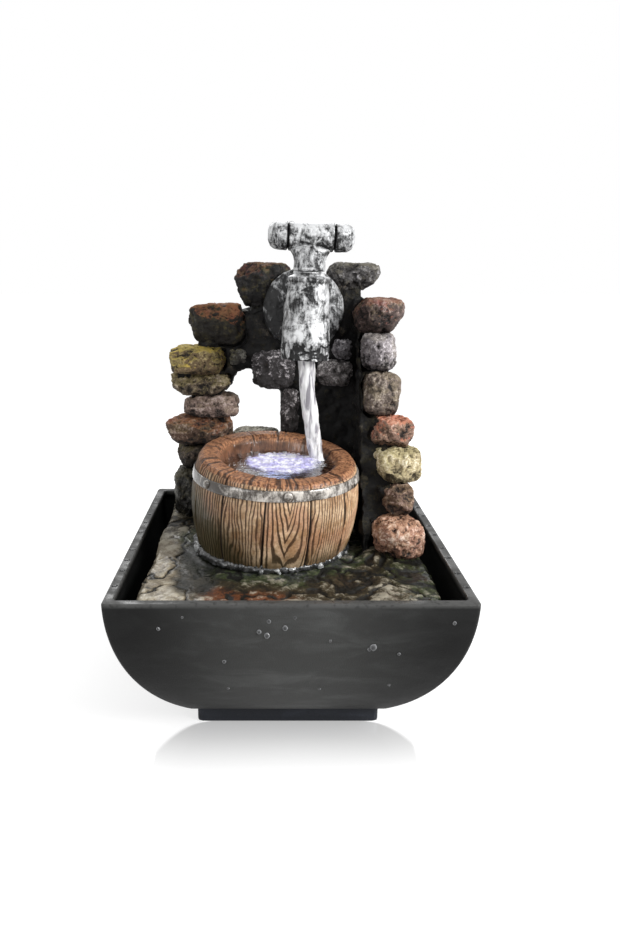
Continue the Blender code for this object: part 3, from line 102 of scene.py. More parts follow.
def hashed(cell: Array, seed: int) -> Array:
    """A fixed number for each whole-numbered cell: its three numbers times large primes, joined and stirred.

    Args:
        cell: whole numbers, (..., 3).
        seed: picks another set of numbers.

    Returns:
        Numbers from 0 to 1, (...).
    """
    x, y, z = np.moveaxis(cell.astype(np.int64), -1, 0)
    key = x * 73856093 ^ y * 19349663 ^ z * 83492791 ^ (seed * 40503 + 977)
    for shift, prime in ((13, 1274126177), (15, 668265263)):
        key = ((key ^ (key >> shift)) & 0x7FFFFFFF) * prime & 0x7FFFFFFF
    return ((key ^ (key >> 16)) & 0xFFFFF) / 0xFFFFF


def soft_noise(points: Array, size: float, seed: int) -> Array:
    """Noise from -1 to 1: each cell corner has a fixed number, and between corners it eases by 3t² - 2t³.

    Args:
        points: places, (..., 3).
        size: how wide a cell is.
        seed: picks another pattern.

    Returns:
        One number for each place.
    """
    at = points / size
    cell = np.floor(at)
    ease = eased(at - cell, 0.0, 1.0)
    total = np.zeros(at.shape[:-1])
    for corner in range(8):
        step = np.array([corner & 1, corner >> 1 & 1, corner >> 2 & 1])
        total += np.prod(np.where(step == 1, ease, 1 - ease), axis=-1) * hashed(cell + step, seed)
    return 2 * total - 1


def rough_noise(points: Array, size: float, seed: int, layers: int = 4, gain: float = 0.5) -> Array:
    """Layers of soft noise, each half as wide as the last and weaker by the gain, brought back to -1 to 1.

    Args:
        points: places, (..., 3).
        size: the widest layer's cell.
        seed: picks another pattern.
        layers: how many layers.
        gain: each layer's strength as a share of the last one's.

    Returns:
        One number for each place.
    """
    weights = np.cumprod([1.0] + [gain] * (layers - 1))
    total = sum(w * soft_noise(points, size / 2**k, seed + 31 * k) for k, w in enumerate(weights))
    return total / weights.sum()


def cobbles(points: Array, size: float, seed: int) -> tuple[Array, Array]:
    """Rounded cells, like pebbles in a bed: each cell holds one centre, and a place belongs to the nearest.

    Args:
        points: places, (..., 3).
        size: how wide a cell is.
        seed: picks another bed.

    Returns:
        How far inside its cell a place is, 0 at the border, and the cell's own number from 0 to 1.
    """
    at = points / size
    first = np.full(at.shape[:-1], 9.0)
    second, own = first.copy(), np.zeros_like(first)
    for step in np.ndindex(3, 3, 3):
        cell = np.floor(at) + np.array(step) - 1
        gap = np.linalg.norm(at - cell - joined(*(hashed(cell, seed + k) for k in range(3))), axis=-1)
        nearer = gap < first
        second = np.where(nearer, first, np.minimum(second, gap))
        own = np.where(nearer, hashed(cell, seed + 7), own)
        first = np.where(nearer, gap, first)
    return second - first, own


@dataclass
class Skin:
    """A closed surface of rings: its points (rings, around, 3), and masks, one number for each point."""

    points: Array
    ends: Ends = Ends.POLES
    masks: dict[str, Number] = field(default_factory=dict)

    def facing(self) -> float:
        """Whether the grid's faces point outwards, from the sign of the volume they enclose.

        Returns:
            1 where they do, -1 where they have to turn round.
        """
        p = self.points - self.points.mean(axis=(0, 1))
        after = np.roll(p, -1, axis=1)
        if self.ends is Ends.LOOP:
            above, above_after = np.roll(p, -1, axis=0), np.roll(after, -1, axis=0)
        else:
            above, above_after, p, after = p[1:], after[1:], p[:-1], after[:-1]
        volume = np.sum(p * np.cross(after, above_after)) + np.sum(p * np.cross(above_after, above))
        return 1.0 if volume > 0 else -1.0

    def normals(self) -> Array:
        """Outward normals: the cross product of the steps round a ring and from ring to ring.

        Returns:
            Vectors of length 1, (rings, around, 3).
        """
        around = np.roll(self.points, -1, axis=1) - np.roll(self.points, 1, axis=1)
        if self.ends is Ends.LOOP:
            along = np.roll(self.points, -1, axis=0) - np.roll(self.points, 1, axis=0)
        else:
            along = np.gradient(self.points, axis=0)
        across = np.cross(around, along) * self.facing()
        return across / np.maximum(np.linalg.norm(across, axis=-1, keepdims=True), 1e-12)

    def raised(self, height: Array) -> "Skin":
        """The skin moved out along its normals, by metres at each point."""
        return replace(self, points=self.points + self.normals() * height[..., None])

    def placed(self, place: Matrix) -> "Skin":
        """The skin turned and moved by a matrix."""
        turn = np.array(place.to_3x3())
        return replace(self, points=self.points @ turn.T + np.array(place.translation))

    def faces(self) -> tuple[Array, Array, Array]:
        """The skin as a mesh.

        Returns:
            Points (n, 3), with a pole point for each open end, the quads, and the triangles at the poles.
        """
        rings, count = self.points.shape[:2]
        steps = rings if self.ends is Ends.LOOP else rings - 1
        level, turn = np.meshgrid(np.arange(steps), np.arange(count), indexing="ij")
        above, after = (level + 1) % rings, (turn + 1) % count
        corners = (level, turn), (level, after), (above, after), (above, turn)
        quads = joined(*(ring * count + place for ring, place in corners)).reshape(-1, 4)
        points = self.points.reshape(-1, 3)
        tris = np.zeros((0, 3), dtype=int)
        if self.ends is Ends.POLES:
            low = np.arange(count)
            high = low + (rings - 1) * count
            first = joined(np.roll(low, -1), low, len(points))
            tris = np.concatenate([first, joined(high, np.roll(high, -1), len(points) + 1)])
            points = np.concatenate([points, self.points[[0, -1]].mean(axis=1)])
        if self.facing() < 0:
            quads, tris = quads[:, ::-1], tris[:, ::-1]
        return points, quads, tris

    def mask_values(self, name: str) -> Array:
        """One mask for every mesh point, with the end rings' means at the poles.

        Args:
            name: the mask. One that isn't set is 0.

        Returns:
            One number for each point that faces() gives.
        """
        values = np.broadcast_to(self.masks.get(name, 0.0), self.points.shape[:2])
        poles = [values[0].mean(), values[-1].mean()] if self.ends is Ends.POLES else []
        return np.concatenate([values.reshape(-1), poles])


def store(mesh: bpy.types.Mesh, name: str, values: Array) -> None:
    """Keeps one number for each point of a mesh as an attribute."""
    mesh.attributes.new(name, "FLOAT", "POINT").data.foreach_set("value", values.astype(np.float32))


def linked(name: str, data: bpy.types.ID) -> Piece:
    """Makes an object and links it into the scene.

    Args:
        name: the object's name.
        data: its mesh, light or camera.

    Returns:
        The new object.
    """
    made = bpy.data.objects.new(name, data)
    bpy.context.scene.collection.objects.link(made)
    return made


def mesh_object(name: str, skins: list[Skin]) -> Piece:
    """Joins closed skins into one object at the origin, with their masks as point attributes.

    Args:
        name: the object's name.
        skins: its closed surfaces.

    Returns:
        The new object.
    """
    points, quads, tris = [], [], []
    for skin in skins:
        start = sum(map(len, points))
        for made, part in zip((points, quads, tris), skin.faces()):
            made.append(part if made is points else part + start)
    mesh = bpy.data.meshes.new(name)
    faces = np.concatenate(quads).tolist() + np.concatenate(tris).tolist()
    mesh.from_pydata(np.concatenate(points), [], faces)
    for mask in sorted({key for skin in skins for key in skin.masks}):
        store(mesh, mask, np.concatenate([skin.mask_values(mask) for skin in skins]))
    mesh.shade_smooth()
    mesh.set_sharp_from_angle(angle=math.radians(45))
    return linked(name, mesh)


def finish_piece(piece: Piece, look: Material, body: Body, slot: str, *stands_for: str) -> None:
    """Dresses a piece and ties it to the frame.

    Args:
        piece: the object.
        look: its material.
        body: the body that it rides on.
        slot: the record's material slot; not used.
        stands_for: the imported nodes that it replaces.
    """
    piece.data.materials.clear()
    piece.data.materials.append(look)
    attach(piece, body.value)
    if stands_for:
        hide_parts(*stands_for)
    log.info("%s: %d faces on %s", piece.name, len(piece.data.polygons), body.value)


def dress(node: str, look: Material) -> None:
    """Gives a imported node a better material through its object's own slot.

    Args:
        node: the node's name.
        look: its material.
    """
    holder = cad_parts[node]
    if not holder.material_slots:
        holder.data.materials.append(None)
    for slot in holder.material_slots:
        slot.link = "OBJECT"
        slot.material = look
    log.info("%s: kept from the frame, in %s", node, look.name)


def add_modifier(piece: Piece, kind: str, **settings: object) -> None:
    """Adds a modifier.

    Args:
        piece: the object.
        kind: the modifier's type.
        settings: its settings by name.
    """
    step = piece.modifiers.new(kind.title(), kind)
    for key, value in settings.items():
        setattr(step, key, value)


def applied(piece: Piece) -> None:
    """Bakes a piece's modifiers into its mesh.

    Args:
        piece: the object.
    """
    mesh = bpy.data.meshes.new_from_object(piece.evaluated_get(bpy.context.evaluated_depsgraph_get()))
    piece.modifiers.clear()
    piece.data = mesh


def cut(piece: Piece, cutter: Skin) -> None:
    """Takes a closed skin away from a piece.

    Args:
        piece: the object.
        cutter: what is taken away.
    """
    tool = mesh_object("cutter", [cutter])
    add_modifier(piece, "BOOLEAN", solver="EXACT", object=tool)
    applied(piece)
    bpy.data.objects.remove(tool)


def block(low: Vector, high: Vector) -> Skin:
    """A plain block between two corners, to cut with."""
    square = np.array([[0.0, 0.0], [1.0, 0.0], [1.0, 1.0], [0.0, 1.0]])
    return Skin(np.array(low) + joined(square[:, 0], square[:, 1], [[0.0], [1.0]]) * np.array(high - low))


def resampled(keys: list[tuple[float, ...]], count: int, softening: int) -> Array:
    """Evenly spaced points along straight stretches, with the corners softened by averaging neighbours.

    Args:
        keys: the corners, each a tuple of coordinates.
        count: how many points to return.
        softening: how many times each inner point is averaged with its two neighbours, weights 1, 2, 1.

    Returns:
        (count, coordinates).
    """
    corners = np.array(keys)
    lengths = np.concatenate([[0.0], np.cumsum(np.linalg.norm(np.diff(corners, axis=0), axis=1))])
    at = np.linspace(0.0, lengths[-1], count)
    points = joined(*(np.interp(at, lengths, column) for column in corners.T))
    for _ in range(softening):
        points[1:-1] = (points[:-2] + 2 * points[1:-1] + points[2:]) / 4
    return points


def lathe(profile: Array, around: int) -> Array:
    """Rings turned round the Z axis: x = r cos a, y = r sin a, and z as in the profile of (r, z)."""
    angle, radius = turns(around), profile[:, :1]
    return joined(radius * np.cos(angle), radius * np.sin(angle), profile[:, 1:])


def rounded(radius: float, top: float, edge: float, steps: int, inner: bool = False) -> Array:
    """A quarter circle on a rim's edge: up the outside to the top, or from the top down the inside.

    Args:
        radius: the upright face's radius.
        top: the rim's height.
        edge: the quarter circle's radius.
        steps: how many points.
        inner: whether it is the inside edge.

    Returns:
        Radius and height of each point, (steps, 2).
    """
    turn = np.linspace(0.0, math.pi / 2, steps)
    across, up = (1 - np.sin(turn), np.cos(turn)) if inner else (np.cos(turn) - 1, np.sin(turn))
    return joined(radius + edge * across, top - edge + edge * up)


def round_square(straight: int, corner: int) -> tuple[Array, Array]:
    """A rounded square's two parts: a ring is core times (half width less radius), plus arc times radius.

    Args:
        straight: points on each straight side.
        corner: points on each corner's quarter circle.

    Returns:
        The core and the arc, each (around, 2).
    """
    cores, arcs = [], []
    for quarter in range(4):
        middle = math.pi / 2 * (quarter + 0.5)
        here, there = (np.sign([math.cos(a), math.sin(a)]) for a in (middle, middle + math.pi / 2))
        angle = np.linspace(math.pi / 2 * quarter, math.pi / 2 * (quarter + 1), corner)
        share = np.linspace(0.0, 1.0, straight + 2)[1:-1, None]
        arc = joined(np.cos(angle), np.sin(angle))
        cores += [np.tile(here, (corner, 1)), here + (there - here) * share]
        arcs += [arc, np.tile(arc[-1], (straight, 1))]
    return np.concatenate(cores), np.concatenate(arcs)


class Value:
    """An output in a node tree. Numbers can be added, subtracted, multiplied and eased."""

    def __init__(self, graph: "Graph", socket: bpy.types.NodeSocket) -> None:
        """Keeps the tree and the output socket."""
        self.graph, self.socket = graph, socket

    def __add__(self, other: "Value | float") -> "Value":
        """The sum."""
        return self.graph.math("ADD", self, other)

    def __sub__(self, other: "Value | float") -> "Value":
        """The difference."""
        return self.graph.math("SUBTRACT", self, other)

    def __rsub__(self, other: float) -> "Value":
        """A plain number less this one."""
        return self.graph.math("SUBTRACT", other, self)

    def __mul__(self, other: "Value | float") -> "Value":
        """The product."""
        return self.graph.math("MULTIPLY", self, other)

    __radd__, __rmul__ = __add__, __mul__

    def eased(self, low: float, high: float, bottom: float = 0.0, top: float = 1.0) -> "Value":
        """A smooth step from bottom to top as the value goes from low to high."""
        feeds = {"Value": self, "From Min": low, "From Max": high, "To Min": bottom, "To Max": top}
        return self.graph.put("ShaderNodeMapRange", feeds, interpolation_type="SMOOTHSTEP")


class Graph:
    """Adds nodes to the tree of a material, a world or a node group, and joins them."""

    def __init__(self, tree: bpy.types.NodeTree) -> None:
        """Keeps the tree."""
        self.tree = tree

    def feed(self, socket: bpy.types.NodeSocket, value: object) -> None:
        """Links a socket, or sets it.

        Args:
            socket: the input.
            value: a Value to link, or a plain number, vector or screen colour.
        """
        if isinstance(value, Value):
            self.tree.links.new(value.socket, socket)
        else:
            socket.default_value = (*paint(value), 1.0) if socket.type == "RGBA" else value

    def node(self, kind: str, feeds: dict | None = None, **settings: object) -> bpy.types.Node:
        """Adds a node.

        Args:
            kind: the node's type.
            feeds: what its inputs get, by name or number.
            settings: the node's own settings.

        Returns:
            The node.
        """
        made = self.tree.nodes.new(kind)
        for key, value in settings.items():
            setattr(made, key, value)
        for key, value in (feeds or {}).items():
            self.feed(made.inputs[key], value)
        return made

    def put(self, kind: str, feeds: dict | None = None, out: str | int = 0, **settings: object) -> Value:
        """Adds a node, and returns one of its outputs."""
        return Value(self, self.node(kind, feeds, **settings).outputs[out])

    def math(self, operation: str, *numbers: Value | float) -> Value:
        """What a math node makes of its numbers."""
        return self.put("ShaderNodeMath", dict(enumerate(numbers)), operation=operation)

    def mix(self, share: Value | float, a: Value | Colour, b: Value | Colour) -> Value:
        """Colour a where the share is 0, b where it is 1."""
        return self.put("ShaderNodeMix", {0: share, 6: a, 7: b}, 2, data_type="RGBA")

    def where(self) -> Value:
        """The object's own coordinates, in metres."""
        return self.put("ShaderNodeTexCoord", out="Object")

    def noise(
        self, size: float, detail: float = 4.0, rough: float = 0.55, bend: float = 0.0,
        stretch: Point | None = None,
    ) -> Value:
        """Noise from 0 to 1 on the object's coordinates.

        Args:
            size: how wide its patches are, in metres.
            detail: how many layers it has.
            rough: how strong the fine layers are.
            bend: how far it is distorted.
            stretch: scales the coordinates along each axis.

        Returns:
            The noise.
        """
        at = self.where()
        if stretch:
            at = self.put("ShaderNodeMapping", {"Vector": at, "Scale": stretch})
        feeds = {"Vector": at, "Scale": 1.0 / size, "Detail": detail, "Roughness": rough, "Distortion": bend}
        return self.put("ShaderNodeTexNoise", feeds, "Fac")

    def mask(self, name: str) -> Value:
        """A piece's own point attribute."""
        return self.put("ShaderNodeAttribute", out="Fac", attribute_name=name, attribute_type="GEOMETRY")

    def bump(self, height: Value, distance: float) -> Value:
        """A normal bent by a height from 0 to 1 that stands for a distance in metres."""
        return self.put("ShaderNodeBump", {"Height": height, "Distance": distance}, "Normal")


class Group(Graph):
    """A shared node group of colours and numbers."""

    def __init__(self, name: str, colours: tuple[str, ...], numbers: tuple[str, ...]) -> None:
        """Makes the group's tree and its inputs.

        Args:
            name: the group's name.
            colours: the names of its colour inputs.
            numbers: the names of its number inputs.
        """
        super().__init__(bpy.data.node_groups.new(name, "ShaderNodeTree"))
        for socket in colours + numbers:
            self.add_socket(socket, "INPUT", socket in colours)
        self.source = self.node("NodeGroupInput")

    def add_socket(self, name: str, side: str, is_colour: bool) -> None:
        """Adds an input or an output to the group."""
        kind = "NodeSocketColor" if is_colour else "NodeSocketFloat"
        self.tree.interface.new_socket(name, in_out=side, socket_type=kind)

    def given(self, name: str) -> Value:
        """One of the group's inputs."""
        return Value(self, self.source.outputs[name])

    def give(self, **results: Value) -> "Group":
        """Makes the group's outputs.

        Args:
            results: what each output gives, by name.

        Returns:
            The group.
        """
        for name in results:
            self.add_socket(name, "OUTPUT", name == "Color")
        self.node("NodeGroupOutput", results)
        return self


class Look(Graph):
    """A material with one Principled shader. In the names of its sockets, _ stands for a space."""

    def __init__(self, name: str, **plain: object) -> None:
        """Makes the material.

        Args:
            name: the material's name.
            plain: what some of the shader's sockets get.
        """
        self.material = bpy.data.materials.new(name)
        self.material.use_nodes = True
        super().__init__(self.material.node_tree)
        self.set(**plain)

    def set(self, **feeds: object) -> Material:
        """Feeds the shader's sockets.

        Args:
            feeds: what each socket gets, by name.

        Returns:
            The material.
        """
        for key, value in feeds.items():
            self.feed(self.tree.nodes["Principled BSDF"].inputs[key.replace("_", " ")], value)
        return self.material

    def group(self, shared: Group, feeds: dict[str, object]) -> dict[str, Value]:
        """Places a shared group, and returns its outputs by name."""
        outputs = self.node("ShaderNodeGroup", feeds, node_tree=shared.tree).outputs
        return {socket.name: Value(self, socket) for socket in outputs}

    def wear(self, out: dict[str, Value], bump: float, **more: object) -> Material:
        """Feeds a group's outputs to the shader, and returns the material.

        Args:
            out: the outputs, with Color, Roughness and Height.
            bump: the metres that the height stands for.
            more: other sockets.

        Returns:
            The material.
        """
        normal = self.bump(out["Height"], bump)
        return self.set(Base_Color=out["Color"], Roughness=out["Roughness"], Normal=normal, **more)


@cache
def rock_paint() -> Group:
    """Painted cast rock: dark in the hollows, dry-brushed on the high places, capped and grown over, and
    darker toward each stone's foot, partly as painted shade.

    Returns:
        The group, with Color, Roughness and Height.
    """
    colours = ("Dark", "Body", "Light", "Cap", "Growth")
    group = Group("Rock paint", colours, ("Cap Amount", "Growth Amount", "Relief", "Up", "Low", "Wet"))
    dark, body, light, cap, growth = map(group.given, colours)
    up, wet = group.given("Up"), group.given("Wet")
    pits = group.noise(0.0026, 6.0, 0.72, 0.8)
    beds = group.noise(0.006, 5.0, 0.6, 0.6, (0.35, 0.35, 2.4))
    height = 0.55 * pits + 0.2 * beds + 0.25 * group.noise(0.0010, 3.0, 0.65)
    # Low darkens the lower part of each stone: a dark wash together with painted shade below its lit top.
    tone = 3.4 * height + 0.9 * group.given("Relief") - 0.3 * group.given("Low") - 1.65
    colour = group.mix(tone.eased(-0.02, 0.62), dark, body)
    colour = group.mix(tone.eased(0.54, 1.05), colour, light)
    capped = (up + 1.2 * group.noise(0.013, 3.0) - 0.6).eased(0.2, 0.8) * group.given("Cap Amount")
    cap_colour = group.mix(tone.eased(0.08, 0.60), dark, cap)
    colour = group.mix(capped, colour, group.mix(tone.eased(0.60, 1.1, 0.0, 0.7), cap_colour, light))
    grown = (group.noise(0.006, 5.0, 0.65) + 0.18 * up).eased(0.5, 0.66) * group.given("Growth Amount")
    colour = group.mix(grown, colour, group.mix(tone.eased(0.10, 0.62), dark, growth))
    colour = group.mix(0.35 * wet, colour, (0, 0, 0))
    return group.give(Color=colour, Roughness=0.3 * pits - 0.45 * wet + 0.55, Height=height)


@cache
def dry_brush() -> Group:
    """Silver paint brushed over a black cast: bright on the high places, black in the pits and gouges.

    Returns:
        The group, with Color, Metallic, Roughness and Height.
    """
    group = Group("Dry brush", ("Silver", "Black"), ("Relief", "Cover", "Grain"))
    hammer, pits = group.noise(0.0085, 5.0, 0.62, 0.8), group.noise(0.0015, 5.0, 0.72, 1.0)
    height = 0.55 * hammer + 0.20 * pits + 0.25 * group.noise(0.0012, 4.0, 0.65, stretch=(1.0, 1.0, 0.22))
    tone = 5.0 * height + 0.6 * group.given("Relief") - 2.38 + group.given("Cover")
    bright = (tone - 0.7 * group.given("Grain")).eased(0.02, 0.90)
    colour = group.mix(bright, group.given("Black"), group.given("Silver"))
    return group.give(Color=colour, Metallic=0.3 * bright, Roughness=0.35 * pits + 0.25, Height=height)


@cache
def cast_skin() -> Group:
    """The slight unevenness of a moulding: cloudy tone, fine grain and a few scuffs.

    Returns:
        The group, with Color, Roughness and Height.
    """
    group = Group("Cast skin", ("Tone", "Scuff"), ("Gloss",))
    clouds, grain = group.noise(0.03), group.noise(0.0007, 3.0, 0.6)
    worn = group.noise(0.011, 4.0, 0.6, 0.5, (0.35, 0.35, 1.0)).eased(0.42, 0.78, 0.0, 0.8)
    # The lighter scuffed tone is wear; on the bowl it also serves as painted sheen in the middles of the
    # sides.
    colour = group.mix(0.5 * clouds - 0.1 + worn, group.given("Tone"), group.given("Scuff"))
    rough = group.given("Gloss") + 0.22 * clouds + 0.12 * grain - 0.17
    return group.give(Color=colour, Roughness=rough, Height=grain)


@dataclass(frozen=True)
class RockFinish:
    """How a painted stone is coloured, and how much wider it is at its top than at its foot."""

    body: Colour
    light: Colour
    cap: Colour
    growth: Colour = (150, 138, 84)
    dark: Colour = (18, 14, 12)
    cap_amount: float = 0.5
    growth_amount: float = 0.15
    wet: float = 0.0
    bump: float = 0.0014
    widening: float = 0.0

    def look(self, name: str) -> Material:
        """Makes the material.

        Args:
            name: its name.

        Returns:
            The material.
        """
        look = Look(name, Specular_IOR_Level=0.3)
        feeds = {key.title(): getattr(self, key) for key in ("dark", "body", "light", "cap", "growth")}
        feeds |= {key.title(): look.mask(key) for key in ("relief", "up", "low")}
        feeds |= {"Cap Amount": self.cap_amount, "Growth Amount": self.growth_amount}
        return look.wear(look.group(rock_paint(), feeds | {"Wet": look.mask("wet") + self.wet}), self.bump)


@dataclass(frozen=True)
class SilverFinish:
    """Aged silver paint over a black cast."""

    name: str
    silver: Colour = (212, 213, 214)
    black: Colour = (16, 16, 17)
    cover: float = 0.0
    bump: float = 0.0006
    coat: float = 0.0

    def look(self) -> Material:
        """Makes the material.

        Returns:
            The material.
        """
        look = Look(self.name, Coat_Weight=self.coat, Coat_Roughness=0.08, Specular_IOR_Level=0.25)
        feeds = {"Silver": self.silver, "Black": self.black, "Cover": self.cover}
        out = look.group(dry_brush(), feeds | {"Relief": look.mask("relief"), "Grain": look.mask("brush")})
        return look.wear(out, self.bump, Metallic=out["Metallic"])


@dataclass(frozen=True)
class MouldingFinish:
    """A plain moulded or turned surface with its slight unevenness."""

    name: str
    tone: Colour
    scuff: Colour
    gloss: float
    metallic: float = 0.0
    specular: float = 0.5
    emission: float = 0.0
    transmission: float = 0.0
    bump: float = 0.00012

    def look(self) -> Material:
        """Makes the material.

        Returns:
            The material.
        """
        look = Look(self.name, Metallic=self.metallic, Transmission_Weight=self.transmission)
        look.set(Emission_Strength=self.emission, Specular_IOR_Level=self.specular)
        out = look.group(cast_skin(), {"Tone": self.tone, "Scuff": self.scuff, "Gloss": self.gloss})
        if self.emission:
            look.set(Emission_Color=out["Color"])
        return look.wear(out, self.bump)


@dataclass
class Studio:
    """The camera at the photograph's angle, the soft lights, the pale floor and the world."""

    camera_place: Point = (-0.0097, -0.378, 0.2386)
    camera_pitch: float = math.radians(90 - 15.8)
    lens: float = 27.097
    shift: float = 40 / 930
    aim: Point = (0.0, 0.0, 0.12)
    floor_half: float = 6.0
    glow_near: float = 0.70
    glow_far: float = 0.92
    mirror_share: float = 0.48
    plain_tone: float = 231.11
    dim_tone: float = 173.39
    room_light: float = 0.26
    arch_front: float = 0.049
    arch_half: float = 0.046
    arch_growth: float = 0.16

    def build(self) -> None:
        """Makes the studio."""
        self.camera()
        self.light("key", (0.58, -0.36, 0.46), 0.32, 7.6)
        self.light("fill", (-0.50, -0.46, 0.40), 0.40, 1.6)
        self.light("back", (-0.10, 0.50, 0.60), 0.50, 3.0)
        self.floor()
        self.world()
        bpy.context.scene.view_settings.view_transform = "Standard"

    def camera(self) -> None:
        """Places the camera that was fitted to the photograph."""
        data = bpy.data.cameras.new("camera")
        data.lens, data.sensor_width, data.shift_x, data.clip_start = self.lens, 36.0, self.shift, 0.01
        made = linked("camera", data)
        made.location, made.rotation_euler = self.camera_place, (self.camera_pitch, 0.0, 0.0)
        bpy.context.scene.camera = made

    def light(self, name: str, place: Point, size: float, power: float) -> None:
        """Adds a square soft light that looks at the barrel.

        Args:
            name: the light's name.
            place: where it hangs.
            size: its side.
            power: its watts.
        """
        data = bpy.data.lights.new(name, "AREA")
        data.size, data.energy = size, power
        made = linked(name, data)
        made.location = place
        made.rotation_euler = (Vector(self.aim) - Vector(place)).to_track_quat("-Z", "Y").to_euler()

    def seen(self, graph: Graph) -> Value:
        """1 for rays that show the surroundings: from the camera, in gloss, or through glass."""
        kinds = ("Is Camera Ray", "Is Glossy Ray", "Is Transmission Ray")
        return graph.math("MINIMUM", sum(graph.put("ShaderNodeLightPath", out=kind) for kind in kinds), 1.0)

    def floor(self) -> None:
        """Lays the pale floor: it reads as white, and keeps the object's soft shadow and a faint reflection.

        The glow grows with the distance from the object, and the reflection fades out in front of it.
        """
        look = bpy.data.materials.new("studio_floor")
        look.use_nodes = True
        look.node_tree.nodes.clear()
        graph = Graph(look.node_tree)
        place, white = graph.where(), (255, 255, 255)
        tones = (self.plain_tone, self.dim_tone)
        plain, dim = (graph.put("ShaderNodeBsdfDiffuse", {"Color": (tone,) * 3}) for tone in tones)
        far = graph.put("ShaderNodeVectorMath", {0: place}, "Value", operation="LENGTH")
        strength = far.eased(0.09, 0.31, self.glow_near, self.glow_far)
        glow = graph.put("ShaderNodeEmission", {"Color": white, "Strength": strength})
        lit = graph.put("ShaderNodeAddShader", {0: dim, 1: glow})
        mirror = graph.put("ShaderNodeBsdfGlossy", {"Color": white, "Roughness": 0.05})
        bright = graph.put("ShaderNodeMixShader", {0: self.reflection(graph, place), 1: lit, 2: mirror})
        mixed = graph.put("ShaderNodeMixShader", {0: self.seen(graph), 1: plain, 2: bright})
        graph.node("ShaderNodeOutputMaterial", {"Surface": mixed})
        corners = np.array([(-1.0, -1.0, 0.0), (1.0, -1.0, 0.0), (1.0, 1.0, 0.0), (-1.0, 1.0, 0.0)])
        mesh = bpy.data.meshes.new("studio_floor")
        mesh.from_pydata(corners * self.floor_half, [], [(0, 1, 2, 3)])
        mesh.materials.append(look)
        linked("studio_floor", mesh)

    def reflection(self, graph: Graph, place: Value) -> Value:
        """How much the floor mirrors: an arch before the foot whose width grows as a root, fading out.

        Args:
            graph: the floor's tree.
            place: the floor's coordinates.

        Returns:
            A share from 0 to 1.
        """
        x, y = (graph.put("ShaderNodeSeparateXYZ", {0: place}, axis) for axis in "XY")
        root = graph.math("SQRT", graph.math("MAXIMUM", -1.0 * y - self.arch_front, 0.0))
        inside = self.arch_growth * root + self.arch_half - graph.math("ABSOLUTE", x)
        return inside.eased(0.0, 0.005) * y.eased(-0.100, -0.050, 0.0, self.mirror_share)

    def world(self) -> None:
        """Lights the scene evenly, and shows white behind it."""
        world = bpy.data.worlds.new("studio")
        world.use_nodes = True
        graph = Graph(world.node_tree)
        back = world.node_tree.nodes["Background"]
        graph.feed(back.inputs["Color"], (255, 255, 255))
        graph.feed(back.inputs["Strength"], (1 - self.room_light) * self.seen(graph) + self.room_light)
        bpy.context.scene.world = world


